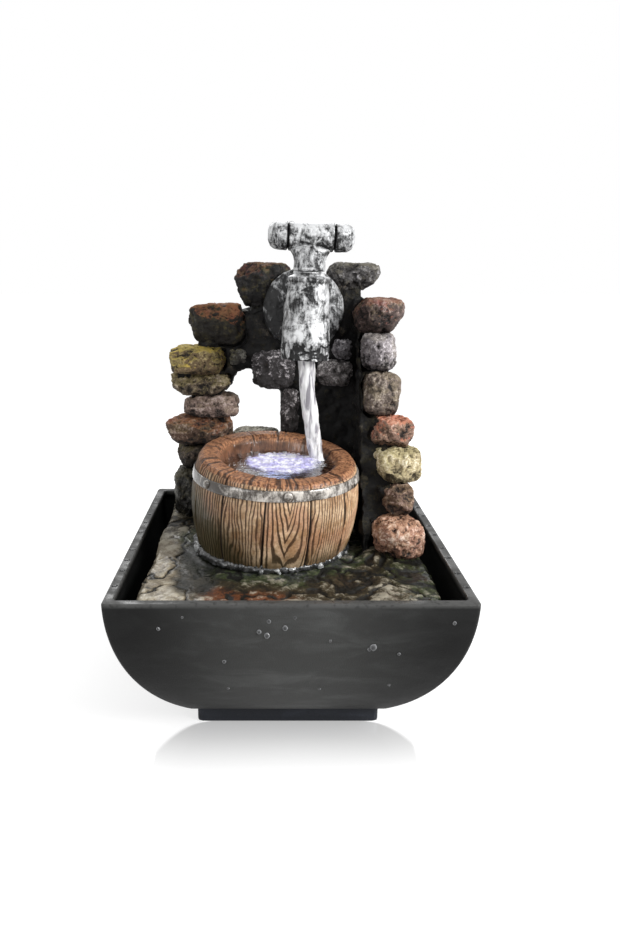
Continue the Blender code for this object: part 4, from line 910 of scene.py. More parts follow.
@dataclass
class Bowl:
    """The square bowl: a flared shell with a lip, four ledges and a cord notch."""

    wall: float = 0.003
    corner: float = 0.0022
    flare: float = 0.0355
    rim_width: float = 0.005
    rim_depth: float = 0.004
    edge: float = 0.0009
    ledge_width: float = 0.022
    ledge_reach: float = 0.0085
    ledge_drop: float = 0.011
    ledge_place: float = 0.0468
    ledge_bite: float = 0.0015
    play: float = 0.0003
    pole: float = 0.004
    levels: int = 56

    def __post_init__(self) -> None:
        """Takes the bowl's box from the frame."""
        low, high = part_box("bowl")
        self.outer, self.base, self.rim = high.x, low.z, high.z
        self.bend = (self.flare**2 + (self.rim - self.base) ** 2) / (2 * self.flare)

    def half(self, z: Number) -> Number:
        """Half the outer width at a height: a circle's arc that stands upright at the rim."""
        return self.outer - self.bend + np.sqrt(self.bend**2 - (self.rim - z) ** 2)

    def shell(self) -> Skin:
        """The shell: rounded squares up the outside, over the lip, and down inside to the floor's middle.

        Returns:
            Its skin, with masks for the rim and for the middles of the sides, where the look paints a sheen.
        """
        inside, floor, under = self.outer - self.rim_width, self.base + self.wall, self.rim - self.rim_depth
        up = np.linspace(self.base, self.rim - self.edge, self.levels)
        down = np.linspace(under - self.rim_depth / 2, floor + self.wall, self.levels)
        foot, pan = self.half(self.base) - self.edge, self.half(floor + self.wall) - 2 * self.wall
        stretches = [
            joined(np.linspace(self.pole, foot, 8), self.base),
            joined(self.half(up), up)[1:],
            rounded(self.outer, self.rim, self.edge, 5)[1:],
            rounded(inside, self.rim, self.edge, 5, inner=True),
            np.array([[inside, under + self.edge], [inside + self.edge, under]]),
            joined(self.half(down) - self.wall, down),
            joined(np.linspace(pan, self.pole, 10), floor),
        ]
        profile = np.concatenate(stretches)
        core, arc = round_square(30, 7)
        half = profile[:, :1, None]
        radius = np.minimum(self.corner, half * 0.5)
        flat = core * (half - radius) + arc * radius
        points = joined(flat[..., 0], flat[..., 1], profile[:, 1:])
        # The middles of the outer sides get a mask that the look paints lighter: painted sheen there, painted
        # shade toward the corners.
        aside = np.abs(flat).min(axis=-1) / np.abs(flat).max(axis=-1)
        outside = np.arange(len(profile))[:, None] < sum(map(len, stretches[:3]))
        top = eased(points[..., 2], self.rim - 0.0025, self.rim - 0.0002) * (points[..., 2] > under)
        return Skin(points, masks={"rim": top, "worn": (1 - eased(aside, 0.1, 0.9)) * outside})

    def ledge(self, side: int, end: int) -> Skin:
        """One ledge: its side outline carried along X by the wall.

        Args:
            side: -1 at the left, 1 at the right.
            end: -1 at the front, 1 at the back.

        Returns:
            Its skin.
        """
        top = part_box("ground_plate")[0].z - self.play
        low = top - self.ledge_drop
        above, below, bite = self.half(top) - self.wall, self.half(low) - self.wall, self.ledge_bite
        y = end * np.array([above - self.ledge_reach, above + bite, below + bite, below])
        ends = side * self.ledge_place + self.ledge_width / 2 * np.array([-1.0, 1.0])
        return Skin(joined(ends[:, None], y, np.array([top, top, low, low])))

    def build(self) -> None:
        """Makes the bowl."""
        ledges = [self.ledge(side, end) for side in (-1, 1) for end in (-1, 1)]
        piece = mesh_object("bowl_shell", [self.shell()] + ledges)
        low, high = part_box("cord_grommet")
        low -= Vector((self.play, self.rim_width, self.play))
        cut(piece, block(low, high + Vector((self.play, self.rim_width, self.rim_width))))
        finish_piece(piece, self.look(), Body.BOWL, "bowl_black", "bowl")

    def look(self) -> Material:
        """Charcoal satin casting with painted sheen: lighter in the middles of the sides and a lighter grey
        rim top, near-black toward the corners, with wet glossy patches along the rim.

        Returns:
            The material.
        """
        look = Look("bowl_charcoal", Coat_Roughness=0.12, Specular_IOR_Level=0.16)
        worn, rim = look.mask("worn"), look.mask("rim")
        # Painted sheen and shade: the middles of the sides are painted lighter, the corners near-black, and
        # the lighter scuffs gather in the middles.
        tone = look.mix(worn, (4, 4, 4), (51, 51, 50))
        scuff = look.mix(0.26 * worn + 0.04, tone, (108, 110, 109))
        out = look.group(cast_skin(), {"Tone": tone, "Scuff": scuff, "Gloss": 0.55})
        # Painted highlight: the rim top and its rounded edges are painted a lighter grey than the body.
        top = look.mix(look.noise(0.003, 3.0).eased(0.5, 0.7), (74, 74, 73), (48, 48, 47))
        wet = rim * look.noise(0.012).eased(0.45, 0.62)
        out |= {"Color": look.mix(0.9 * rim, out["Color"], top), "Roughness": out["Roughness"] - 0.3 * wet}
        return look.wear(out, 0.00012, Coat_Weight=0.4 * wet)


@dataclass
class Ground:
    """The cast ground plate, with its swirling wet rock, pool, moss and rust."""

    ripple: float = 0.0016
    columns: int = 210
    rows: int = 200
    rise: float = 0.0016
    terraces: float = 3.2
    tube_hole: float = 0.0055
    lead_hole: float = 0.004
    notch_half: float = 0.0035
    notch_depth: float = 0.004
    notch_x: float = -0.030
    pool_place: tuple[float, float] = (-0.048, -0.028)
    pool_radii: tuple[float, float] = (0.013, 0.036)
    pool_depth: float = 0.0007
    sink: float = 0.0004
    mounds: tuple[tuple[float, ...], ...] = (
        (0.058, -0.018, 1.0, 0.022, 0.018, 0.0022),
        (0.048, -0.012, 1.4, 0.016, 0.012, 0.0024),
    )

    def __post_init__(self) -> None:
        """Takes the plate's box and the barrel's ring from the frame."""
        self.low, self.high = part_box("ground_plate")
        low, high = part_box("barrel_foot_ring")
        self.barrel, self.ring = (low + high) / 2, (high.x - low.x) / 2

    def edge(self, side: int, y: Array) -> Array:
        """The plate's side edge: a straight line drawn in by a slow sine."""
        along = (side * y / self.high.y + 1) / 2
        return side * (self.high.x - self.ripple * (0.5 + 0.5 * np.sin(2 * np.pi * 2.3 * along + side)))

    def gap(self, x: Array, y: Array) -> Array:
        """How far a place lies outside the barrel's ring."""
        return np.hypot(x - self.barrel.x, y - self.barrel.y) - self.ring

    def pool(self, x: Array, y: Array, blur: Number) -> Array:
        """1 in the pool left of the barrel, which the look paints dark as a reflection: a long oval with a
        blurred shore.
        """
        (left, front), (wide, long) = self.pool_place, self.pool_radii
        return eased(1.0 - np.hypot((x - left) / wide, (y - front) / long) + blur * 40, -0.2, 0.3)

    def mound(self, x: Array, y: Array) -> Array:
        """The low mounds: each one's place, how much narrower it is across, its radius, slope and rise."""
        return sum(
            eased(radius - np.hypot((x - left) * narrow, y - front), 0.0, slope) * rise
            for left, front, narrow, radius, slope, rise in self.mounds
        )

    def height(self, x: Array, y: Array) -> tuple[Array, Array]:
        """Relief above the plate's top, in metres, and the same as a mask from 0 to 1.

        Terraces: bent noise is cut into steps whose edges are eased, and small pebbles are laid over it. Two
        low mounds stand by the right stones. It all fades out under the barrel's ring and the wall.

        Args:
            x: places across.
            y: places to the back.

        Returns:
            The height and the mask.
        """
        flat = joined(x, y, 0.0)
        bend = joined(rough_noise(flat, 0.03, 5), rough_noise(flat, 0.03, 9), 0.0)
        swirl = rough_noise(flat + 0.012 * bend, 0.034, 21, 4) * self.terraces
        step = np.floor(swirl)
        part = swirl - step
        line = eased(0.5 - np.abs(part - 0.42) * 2.6, 0.0, 0.5)
        inside, own = cobbles(flat + 0.002 * bend, 0.0055, 3)
        stones = eased(inside, 0.0, 0.35) * (own > 0.45)
        relief = 0.55 * (step + eased(part, 0.35, 0.65)) / self.terraces + 0.30 * stones * own
        relief += 0.4 * rough_noise(flat, 0.006, 77, 4) - 0.55 * line
        pool = self.pool(x, y, 0.0)
        height = self.rise * relief * (1 - 0.8 * pool) - self.pool_depth * pool - self.sink
        height = height + self.mound(x, y)
        open_ground = eased(self.gap(x, y), -0.002, 0.004) * eased(0.046 - y, -0.004, 0.008)
        return height * open_ground, np.clip(0.5 + 0.8 * relief, 0.0, 1.0)

    def tints(self, x: Array, y: Array) -> dict[str, Array]:
        """Where the plate is filmed grey, under water, pale, mossy and rusty.

        Args:
            x: places across.
            y: places to the back.

        Returns:
            The masks by name.
        """
        blur = rough_noise(joined(x, y, 0.0), 0.018, 41) * 0.012
        gap = self.gap(x, y) + blur
        right, front, aside = x - 0.046 + blur, -y - 0.054 + blur, 0.030 - np.abs(x + 0.020) + blur
        return {
            "film": eased(0.0075 - gap, 0.0, 0.006) * eased(x + 0.038, 0.0, 0.012),
            "pool": self.pool(x, y, blur),
            "pale": eased(-x - 0.041 + blur, 0.0, 0.010) * eased(0.020 - y + blur, 0.0, 0.018),
            "moss": np.clip(eased(0.013 - gap, 0.0, 0.009) + 0.8 * eased(right, 0.0, 0.02), 0.0, 1.0),
            "rust": eased(front, 0.0, 0.008) * eased(aside, 0.0, 0.014),
        }

    def slab(self) -> Skin:
        """The plate: rings that go over the top and back underneath, stacked from front to back.

        Returns:
            Its skin, with its masks on the top.
        """
        y = np.linspace(self.low.y, self.high.y, self.rows)[:, None]
        share = np.linspace(0.0, 1.0, self.columns)[None, :]
        left, right = self.edge(-1, y), self.edge(1, y)
        x, y = np.broadcast_arrays(left + (right - left) * share, y)
        height, relief = self.height(x, y)
        lip = eased(np.minimum(share, 1 - share), 0.0, 0.012) * 0.0012 - 0.0012
        top = joined(x, y, self.high.z + height + lip)
        bottom = top[:, ::-1].copy()
        bottom[..., 2] = self.low.z
        masks = self.tints(x, y) | {"relief": relief}
        masks = {name: np.concatenate([mask, 0 * mask], axis=1) for name, mask in masks.items()}
        return Skin(np.concatenate([top, bottom], axis=1), masks=masks)

    def build(self) -> None:
        """Makes the plate with its holes and its notch."""
        piece = mesh_object("ground", [self.slab()])
        low, high = self.low.z - 0.004, self.high.z + 0.006
        tube = sum(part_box("riser_tube"), Vector()) / 2
        for centre, radius in ((tube, self.tube_hole), (self.barrel, self.lead_hole)):
            drill = lathe(np.array([[radius, low], [radius, high]]), 32)
            cut(piece, Skin(drill + np.array([centre.x, centre.y, 0.0])))
        middle = Vector((self.notch_x, self.high.y, 0.0))
        half = Vector((self.notch_half, self.notch_depth, 0.0))
        floor, roof = Vector((0.0, 0.0, low)), Vector((0.0, 0.0, high))
        cut(piece, block(middle - half + floor, middle + half + roof))
        finish_piece(piece, self.look(), Body.ROCKWORK, "ground_wet", "ground_plate")

    def look(self) -> Material:
        """Wet painted ground, with the pool painted near-black as a reflection of the barrel and stones.

        Returns:
            The material.
        """
        look = Look("ground_wet_rock", Coat_Roughness=0.05, Coat_IOR=1.25, Specular_IOR_Level=0.2)
        moss, pool = look.mask("moss"), look.mask("pool")
        body = look.mix(look.mask("pale"), (56, 48, 32), (128, 117, 98))
        body = look.mix(moss * look.noise(0.007, 4.0, 0.6).eased(0.3, 0.5), body, (36, 42, 24))
        body = look.mix(0.85 * look.mask("rust"), body, (118, 66, 36))
        body = look.mix(0.75 * look.mask("film"), body, (66, 68, 71))
        light = look.mix(0.55, body, (206, 198, 178))
        feeds = {"Dark": (16, 15, 11), "Body": body, "Light": light, "Cap": body, "Growth": (60, 70, 36)}
        feeds |= {"Cap Amount": 0.2, "Growth Amount": 0.7 * moss, "Up": 0.6, "Low": 0.0}
        feeds |= {"Relief": 1.9 * look.mask("relief") - 0.5, "Wet": 0.9 * pool + 0.25}
        out = look.group(rock_paint(), feeds)
        # Painted reflection: the pool is painted near-black for the barrel and stones mirrored in its water.
        out["Color"] = look.mix(0.8 * pool, out["Color"], (16, 18, 12))
        wet = look.noise(0.02, 3.0).eased(0.38, 0.6) * (1.0 - 0.7 * pool)
        return look.wear(out, 0.0007, Coat_Weight=wet)


# Near-black mortar: partly its own dark paint, partly painted shade between and behind the stones.
MORTAR = RockFinish((7, 6, 6), (84, 77, 68), (12, 11, 9), dark=(3, 2, 2), growth_amount=0.06)

STONES = {
    "stone_left_1": RockFinish((44, 43, 40), (124, 122, 116), (62, 60, 54), wet=0.5, widening=-0.10),
    "stone_left_2": RockFinish((42, 36, 31), (110, 96, 84), (60, 52, 44), widening=0.16),
    "stone_left_3": RockFinish((84, 64, 52), (168, 148, 134), (160, 92, 62), widening=0.10),
    "stone_left_4": RockFinish((130, 110, 101), (222, 204, 196), (152, 130, 120), widening=-0.06),
    "stone_left_5": RockFinish(
        (108, 95, 78), (206, 190, 168), (142, 126, 92), growth_amount=0.4, widening=0.10
    ),
    "stone_left_6": RockFinish(
        (120, 101, 76), (216, 198, 142), (228, 200, 100), cap_amount=1.0, growth_amount=0.5, widening=-0.04
    ),
    "stone_left_7": RockFinish((29, 27, 22), (72, 63, 48), (142, 88, 62), cap_amount=0.9, widening=0.20),
    "stone_top_left": RockFinish((15, 15, 15), (56, 53, 51), (108, 60, 50), widening=0.26),
    "stone_top_right": RockFinish((74, 72, 72), (156, 154, 154), (92, 90, 90), widening=0.22),
    "stone_right_1": RockFinish((160, 120, 100), (244, 220, 202), (194, 142, 118), widening=-0.04),
    "stone_right_2": RockFinish((100, 78, 66), (200, 174, 160), (120, 94, 82), widening=-0.06),
    "stone_right_3": RockFinish(
        (178, 163, 128), (250, 242, 218), (208, 196, 154), dark=(54, 46, 32), growth_amount=0.35,
        widening=0.10,
    ),
    "stone_right_4": RockFinish((138, 110, 95), (220, 186, 168), (208, 120, 96), cap_amount=0.7),
    "stone_right_5": RockFinish((102, 90, 82), (184, 172, 160), (112, 100, 92), widening=-0.05),
    "stone_right_6": RockFinish((132, 126, 128), (222, 216, 218), (144, 138, 140), widening=0.05),
    "stone_right_7": RockFinish((78, 64, 60), (162, 142, 134), (138, 84, 74), cap_amount=0.7),
    "stone_sill_foot": RockFinish((60, 52, 46), (140, 128, 118), (84, 72, 62), widening=-0.08),
    "stone_sill": RockFinish((140, 136, 124), (216, 214, 204), (186, 182, 168), wet=0.4, widening=0.06),
    "pebble_centre": RockFinish((44, 41, 42), (200, 194, 196), (48, 46, 47), growth_amount=0.0),
    "pebble_post": RockFinish((50, 46, 46), (196, 190, 190), (54, 50, 49), growth_amount=0.0),
    "pebble_low_right": RockFinish((100, 96, 95), (220, 215, 214), (112, 108, 107), growth_amount=0.0),
    "pebble_high_right": RockFinish((116, 113, 116), (226, 223, 226), (128, 125, 128), growth_amount=0.0),
    "pebble_left": RockFinish((54, 52, 48), (124, 122, 114), (70, 68, 62)),
}


@dataclass
class Wall:
    """The stacked stones, the pebbles bedded between them and the dark core that holds them; the core's
    near-black is partly painted shade.
    """

    rings: int = 60
    around: int = 120
    upright_squareness: float = 4.2
    squareness: float = 3.2
    bump_share: float = 0.045
    chips: int = 8
    chip_tip: float = 0.45
    chip_reach: tuple[float, float] = (0.88, 1.05)
    chip_depth: float = 0.9
    roughness: float = 0.0022
    voxel: float = 0.0009
    inset: float = 0.0045
    growth: float = 0.0012
    splash_top: float = 0.105
    mortar_pebble: float = 0.0100
    mortar_depth: float = 0.0034
    mortar_rise: float = 0.0004
    wing_bite: float = 0.006
    back_gap: float = 0.001
    corner_beds: tuple[tuple[str, float, float, float], ...] = (
        ("stone_top_right", 0.05, 0.68, 0.014),
        ("stone_top_left", 0.30, 0.9, 0.009),
    )

    def pillow(self, name: str, number: int) -> Array:
        """A stone's squared pillow from -1 to 1, chipped by planes.

        Its rings follow |z|^n + |r|^n = 1 and its outline |x|^m + |y|^m = 1. Each chip pushes what lies past
        a plane back onto it.

        Args:
            name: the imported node.
            number: picks the stone's chips and bumps.

        Returns:
            Points, (rings, around, 3).
        """
        lift = np.linspace(-math.pi / 2 + 0.03, math.pi / 2 - 0.03, self.rings)[:, None]
        angle = 2 * math.pi * (np.arange(self.around) + 0.5) / self.around
        n, m = self.upright_squareness, self.squareness
        reach = (np.abs(np.sin(lift)) ** n + np.abs(np.cos(lift)) ** n) ** (-1 / n)
        up, out = np.sin(lift) * reach, np.cos(lift) * reach
        square = (np.abs(np.cos(angle)) ** m + np.abs(np.sin(angle)) ** m) ** (-1 / m)
        phase = 1.7 * number
        bump = np.sin(2 * angle + phase + up) + np.sin(5 * angle + 2.3 * phase + 2 * up)
        size = out * square * (1 + STONES[name].widening * up) * (1 + self.bump_share * bump)
        unit = joined(size * np.cos(angle), size * np.sin(angle), up)
        chance = np.random.default_rng(101 + number)
        for _ in range(self.chips):
            turn, tip = chance.uniform(0, 2 * math.pi), chance.normal(0.0, self.chip_tip)
            way = np.array([math.cos(turn), math.sin(turn), tip])
            way /= np.linalg.norm(way)
            over = unit @ way - chance.uniform(*self.chip_reach)
            unit = unit - np.maximum(over, 0.0)[..., None] * way * self.chip_depth
        return unit

    def stone(self, name: str, number: int) -> Skin:
        """One stone: its pillow, roughened, brought back to its box, and grown a little in height.

        Args:
            name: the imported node.
            number: picks the stone's chips and bumps.

        Returns:
            The stone's skin with its relief, up, low and wet masks.
        """
        low, high = (np.array(corner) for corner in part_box(name))
        skin = Skin(self.pillow(name, number) * (high - low) / 2 + (high + low) / 2)
        where = skin.points + 0.1 * number
        beds = rough_noise(where * np.array([0.4, 0.4, 1.6]), 0.0065, number + 3, 4)
        ridges = 0.4 - np.abs(rough_noise(where, 0.0055, number + 60, 4, 0.65)) * 2.2
        height = 0.5 * rough_noise(where, 0.009, number, 5, 0.62) + 0.3 * beds + 0.8 * ridges
        rough = skin.raised(self.roughness * height).points
        least, most = rough.min(axis=(0, 1)), rough.max(axis=(0, 1))
        points = low + (rough - least) / (most - least) * (high - low)
        points[..., 2] += (rough[..., 2] - rough[..., 2].mean()) / (high[2] - low[2]) * self.growth
        if name.startswith("pebble"):
            points[..., 1] = np.minimum(points[..., 1], high[1])
        up = points[..., 2]
        masks = {
            "relief": np.clip(0.5 + 0.7 * height, 0.0, 1.0),
            "up": np.clip(Skin(points).normals()[..., 2], 0.0, 1.0),
            # Painted shade with a dark wash: this mask darkens each stone toward its foot.
            "low": 1 - eased((up - low[2]) / (high[2] - low[2]), 0.0, 0.6),
            "wet": eased(self.splash_top - up, 0.0, 0.02) * 0.6,
        }
        return Skin(points, masks=masks)

    def beds(self) -> list[tuple[Vector, Vector]]:
        """Boxes of mortar: between each two stones of a column, from the wing to each right stone, and one
        under each top stone, from a first to a last share of its width and so far down.

        Returns:
            Each box's low and high corner.
        """
        boxes = []
        draw_in = Vector((self.inset, self.inset * 1.6, 0.0))
        for side in ("left", "right"):
            for number in range(1, 7):
                (low_a, high_a), (low_b, high_b) = (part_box(f"stone_{side}_{number + k}") for k in (0, 1))
                low = Vector(map(max, low_a, low_b)) + draw_in
                high = Vector(map(min, high_a, high_b)) - draw_in
                low.z, high.z = high_a.z - self.inset * 0.8, low_b.z + self.inset * 0.8
                boxes.append((low, high))
        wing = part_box("wall_wing")[1].x
        for number in range(1, 8):
            low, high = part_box(f"stone_right_{number}")
            size = high - low
            start = Vector((wing - self.wing_bite, low.y + size.y * 0.3, low.z - self.inset * 0.5))
            boxes.append((start, Vector((low.x + size.x * 0.45, high.y - self.back_gap, high.z))))
        for name, first, last, drop in self.corner_beds:
            low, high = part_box(name)
            left, right = (low.x + share * (high.x - low.x) for share in (first, last))
            start = Vector((left, low.y + 0.005, low.z - drop))
            boxes.append((start, Vector((right, high.y - self.back_gap, low.z + 0.004))))
        return boxes

    def mortar(self) -> Piece:
        """The core, its wing and the beds as one mass: joined by voxels, and roughened but for the back.

        Returns:
            The new object.
        """
        work = bmesh.new()
        for node in ("wall_core", "wall_wing"):
            work.from_mesh(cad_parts[node].data)
        for low, high in self.beds():
            place = Matrix.LocRotScale((low + high) / 2, None, high - low)
            bmesh.ops.create_cube(work, size=1.0, matrix=place)
        bmesh.ops.remove_doubles(work, verts=work.verts, dist=1e-6)
        mesh = bpy.data.meshes.new("wall_mortar")
        work.to_mesh(mesh)
        work.free()
        piece = linked("wall_mortar", mesh)
        add_modifier(piece, "REMESH", mode="VOXEL", voxel_size=self.voxel)
        add_modifier(piece, "SMOOTH", factor=0.5, iterations=4)
        applied(piece)
        self.roughen(piece.data)
        return piece

    def roughen(self, mesh: bpy.types.Mesh) -> None:
        """Moves the mortar's points along their normals by pebbly noise, and stores the relief.

        Args:
            mesh: the smooth mortar.
        """
        points, normals = np.empty(len(mesh.vertices) * 3), np.empty(len(mesh.vertices) * 3)
        mesh.vertices.foreach_get("co", points)
        mesh.vertices.foreach_get("normal", normals)
        points, normals = points.reshape(-1, 3), normals.reshape(-1, 3)
        inside, own = cobbles(points, self.mortar_pebble, 17)
        height = 0.9 * eased(inside, 0.0, 0.6) * own + 0.9 * rough_noise(points, 0.009, 8, 5, 0.65) - 0.7
        free = eased(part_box("wall_core")[1].y - points[:, 1], 0.0008, 0.004)
        move = np.minimum(self.mortar_depth * height, self.mortar_rise) * free
        points = points + normals * move[:, None]
        mesh.vertices.foreach_set("co", points.reshape(-1))
        store(mesh, "relief", 0.6 + 0.6 * height)
        store(mesh, "up", np.clip(normals[:, 2], 0.0, 1.0))
        mesh.shade_smooth()
        mesh.update()

    def build(self) -> None:
        """Makes every stone and the mortar, and dresses the channel's cover."""
        for number, (name, finish) in enumerate(STONES.items()):
            piece = mesh_object("rough_" + name, [self.stone(name, number)])
            finish_piece(piece, finish.look("painted_" + name), Body.ROCKWORK, "stone_brown", name)
        # The near-black mortar look, partly painted shade, also goes on the channel's cover.
        dark = MORTAR.look("mortar_dark_and_shade")
        finish_piece(self.mortar(), dark, Body.ROCKWORK, "core_dark", "wall_core", "wall_wing")
        dress("channel_cover", dark)


@dataclass
class Barrel:
    """The tilted barrel with its hoop and the rubble round its foot."""

    place: Point = (-0.009, 0.005, 0.083)
    lean: float = math.radians(3.8)
    tilt: float = math.radians(5.6)
    height: float = 0.0550
    bulge: float = 0.0470
    bulge_share: float = 0.56
    rim: float = 0.0432
    foot: float = 0.0420
    mouth: float = 0.0325
    basin_depth: float = 0.0235
    basin_floor: float = 0.022
    stem_hole: float = 0.0053
    wall: float = 0.006
    floor: float = 0.005
    rim_round: float = 0.0025
    staves: int = 12
    first_joint: float = math.radians(-97.2)
    groove: float = 0.0009
    grain_depth: float = 0.00028
    crack_depth: float = 0.0004
    unevenness: float = 0.0003
    swell: float = 0.00012
    hoop_low: float = 0.0458
    hoop_high: float = 0.0513
    hoop_thickness: float = 0.0013
    hoop_slip: tuple[float, float, float] = (-0.0028, 0.0020, -0.0036)
    rivets: int = 6
    first_rivet: float = math.radians(-83.0)
    rivet_radius: float = 0.0024
    rivet_rise: float = 0.0012
    damp_and_shade_top: float = 0.112
    damp_and_shade_left: float = -0.026
    damp_and_shade_fall: float = 1.1
    soaked_top: float = 0.099
    outer_rings: int = 96
    rim_rings: int = 9
    edge_rings: int = 7
    basin_rings: int = 48
    around: int = 540

    def __post_init__(self) -> None:
        """Works out the barrel's place, and takes the ground's height from the frame."""
        turn = Matrix.Rotation(self.lean, 4, "Y") @ Matrix.Rotation(self.tilt, 4, "X")
        self.frame = Matrix.Translation(self.place) @ turn
        self.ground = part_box("barrel")[0].z

    def radius(self, z: Array) -> Array:
        """Outer radius along the axis: the bulge less a square law towards each end.

        Args:
            z: heights above the barrel's foot.

        Returns:
            The radius at each.
        """
        widest = self.height * self.bulge_share
        high = z > widest
        share = (z - widest) / np.where(high, self.height - widest, widest)
        return self.bulge - (self.bulge - np.where(high, self.rim, self.foot)) * share**2

    def basin(self, share: Array) -> Array:
        """Radius and height down the basin: the radius shrinks evenly, and the depth is a quarter sine."""
        radius = self.mouth + (self.basin_floor - self.mouth) * share
        return joined(radius, self.height - self.basin_depth * np.sin(share * math.pi / 2))

    def profile(self) -> list[Array]:
        """Radius and height all round the wall.

        Returns:
            Four stretches: outside, rim, basin, and the hollow underside.
        """
        sunk = -self.bulge * math.sin(self.tilt + self.lean)
        r, height, steps = self.rim_round, self.height, self.edge_rings
        up = np.linspace(sunk, height - r, self.outer_rings)
        top = joined(np.linspace(self.rim - r, self.mouth + r, self.rim_rings), height)
        edges = rounded(self.rim, height, r, steps), top, rounded(self.mouth, height, r, steps, inner=True)
        deep = height - self.basin_depth
        under, cavity = deep - self.floor, self.foot - self.wall
        hollow = [(self.stem_hole, deep), (self.stem_hole, under), (self.basin_floor, under)]
        hollow += [(cavity, under - self.floor), (cavity, sunk)]
        rim = np.concatenate([edge[1:] for edge in edges])
        basin = self.basin(np.linspace(0.1, 1.0, self.basin_rings))
        return [joined(self.radius(up), up), rim, basin, np.array(hollow)]

    def grain(self, angle: Array, z: Array) -> tuple[Array, Array, Array]:
        """The wood's lines on each stave.

        Each stave has its own slow bend. The grain value counts lines across the stave. On the stave by
        the front it also grows towards the foot near the stave's middle, so its lines are arrows that point
        down.

        Args:
            angle: place round the barrel.
            z: place along it.

        Returns:
            How near a joint a place is, the grain value, and the stave's own tone.
        """
        turn = (angle - self.first_joint) / (2 * math.pi / self.staves)
        stave = np.floor(turn) % self.staves
        across = (turn - np.floor(turn) - 0.5) * 2
        own = hashed(joined(stave, 0 * stave, 0 * stave), 5)
        bend = rough_noise(joined(across * 0.012 + stave * 0.31, z * 0.35, stave * 0.7), 0.008, 12, 3)
        straight = (across + 0.24 * bend) * 6.0 + own * 7
        middle = np.abs(across + 0.1 * bend)
        arrow = 5.8 * middle + 4.2 * np.exp(-((middle / 0.5) ** 2)) * (1 - (z - 0.006) / 0.034)
        return 1 - eased(1 - np.abs(across), 0.0, 0.09), np.where(stave == 0, arrow, straight), own

    def body(self) -> Skin:
        """The barrel: the profile turned, grooved at the joints and along the grain, and cut level below.

        Returns:
            Its skin, with its masks.
        """
        stretches = self.profile()
        kind = np.repeat(np.arange(len(stretches)), list(map(len, stretches)))[:, None]
        outer, rim, inner = (1.0 * (kind == k) for k in range(3))
        points = lathe(np.concatenate(stretches), self.around)
        angle, z = np.broadcast_arrays(turns(self.around), points[..., 2])
        joint, value, own = self.grain(angle, z)
        line = 0.5 + 0.5 * np.sin(2 * math.pi * value)
        wander = rough_noise(points, 0.016, 4, 4)
        crack = eased(rough_noise(joined(angle * 0.05, z * 0.3, z * 0), 0.0026, 30, 4), 0.1, 0.5)
        depth = self.groove * joint * (outer + 0.6 * rim) + self.grain_depth * line * outer
        depth = depth + self.crack_depth * crack * (1 - outer)
        height = self.unevenness * wander - depth + self.swell
        placed = Skin(points, Ends.LOOP).raised(height).placed(self.frame)
        placed.points[..., 2] = np.maximum(placed.points[..., 2], self.ground)
        x, up = placed.points[..., 0], placed.points[..., 2]
        # Painted shade over real splash wetness: the dark green band reaches higher toward the left, the side
        # away from the key light.
        falling = self.damp_and_shade_fall * (x - self.damp_and_shade_left)
        splashed_and_shaded = eased(self.damp_and_shade_top - up + 0.004 * wander - falling, 0.0, 0.026)
        soaked = 0.85 * eased(self.soaked_top - up + 0.010 * wander, 0.0, 0.014)
        masks = {"crack": crack, "joint": joint * (outer + rim), "grain": value, "own": own, "rim": rim}
        return replace(placed, masks=masks | {"inner": inner, "damp": np.maximum(splashed_and_shaded, soaked)})

    def slip(self, angle: Number) -> Number:
        """How far the hoop lies above its place: a constant, and shares to the right and to the back."""
        level, right, back = self.hoop_slip
        return level + right * np.cos(angle) + back * np.sin(angle)

    def hoop(self) -> list[Skin]:
        """The hoop: a rounded band that follows the bulge, hammered and worn, with rivets in dark rings.

        Returns:
            The band's skin, then the rivets'.
        """
        turn, around = turns(28)[:, None], turns(420)
        middle, half = (self.hoop_low + self.hoop_high) / 2, (self.hoop_high - self.hoop_low) / 2
        square = (np.abs(np.cos(turn)) ** 5 + np.abs(np.sin(turn)) ** 5) ** (-1 / 5)
        height = middle + half * square * np.sin(turn) + self.slip(around)
        reach = self.radius(height) + (self.hoop_thickness / 2 * (1 + square * np.cos(turn)) - 0.0003)
        skin = Skin(joined(reach * np.cos(around), reach * np.sin(around), height), Ends.LOOP)
        bumps = rough_noise(skin.points, 0.007, 50, 5, 0.6)
        skin = skin.raised(0.00025 * bumps)
        slow = rough_noise(skin.points, 0.022, 51, 2)
        lift = np.linspace(0.0, math.pi / 2 - 0.08, 8)
        dome = joined(self.rivet_radius * np.cos(lift), self.rivet_rise * np.sin(lift))
        dome = np.concatenate([[[self.rivet_radius, -self.rivet_rise]], dome])
        ring, rivets = 0 * bumps, []
        for angle in self.first_rivet + turns(self.rivets):
            high = middle + self.slip(angle)
            face = float(self.radius(np.array(high))) + self.hoop_thickness - 0.0001
            centre = joined(face * np.cos(angle), face * np.sin(angle), high)
            gap = np.linalg.norm(skin.points - centre, axis=-1)
            ring = np.maximum(ring, 1 - eased(gap, self.rivet_radius, self.rivet_radius + 0.0008))
            stand = Matrix.Rotation(angle, 4, "Z") @ Matrix.Translation((face, 0.0, high))
            stand = self.frame @ stand @ Matrix.Rotation(math.pi / 2, 4, "Y")
            rivets.append(Skin(lathe(dome, 20), masks={"relief": 0.75}).placed(stand))
        edge = np.abs(np.sin(turn)) ** 3
        skin.masks = {"relief": np.clip(0.5 + 0.3 * bumps + 1.6 * slow - 0.3 * edge, 0, 1), "brush": ring}
        return [skin.placed(self.frame)] + rivets

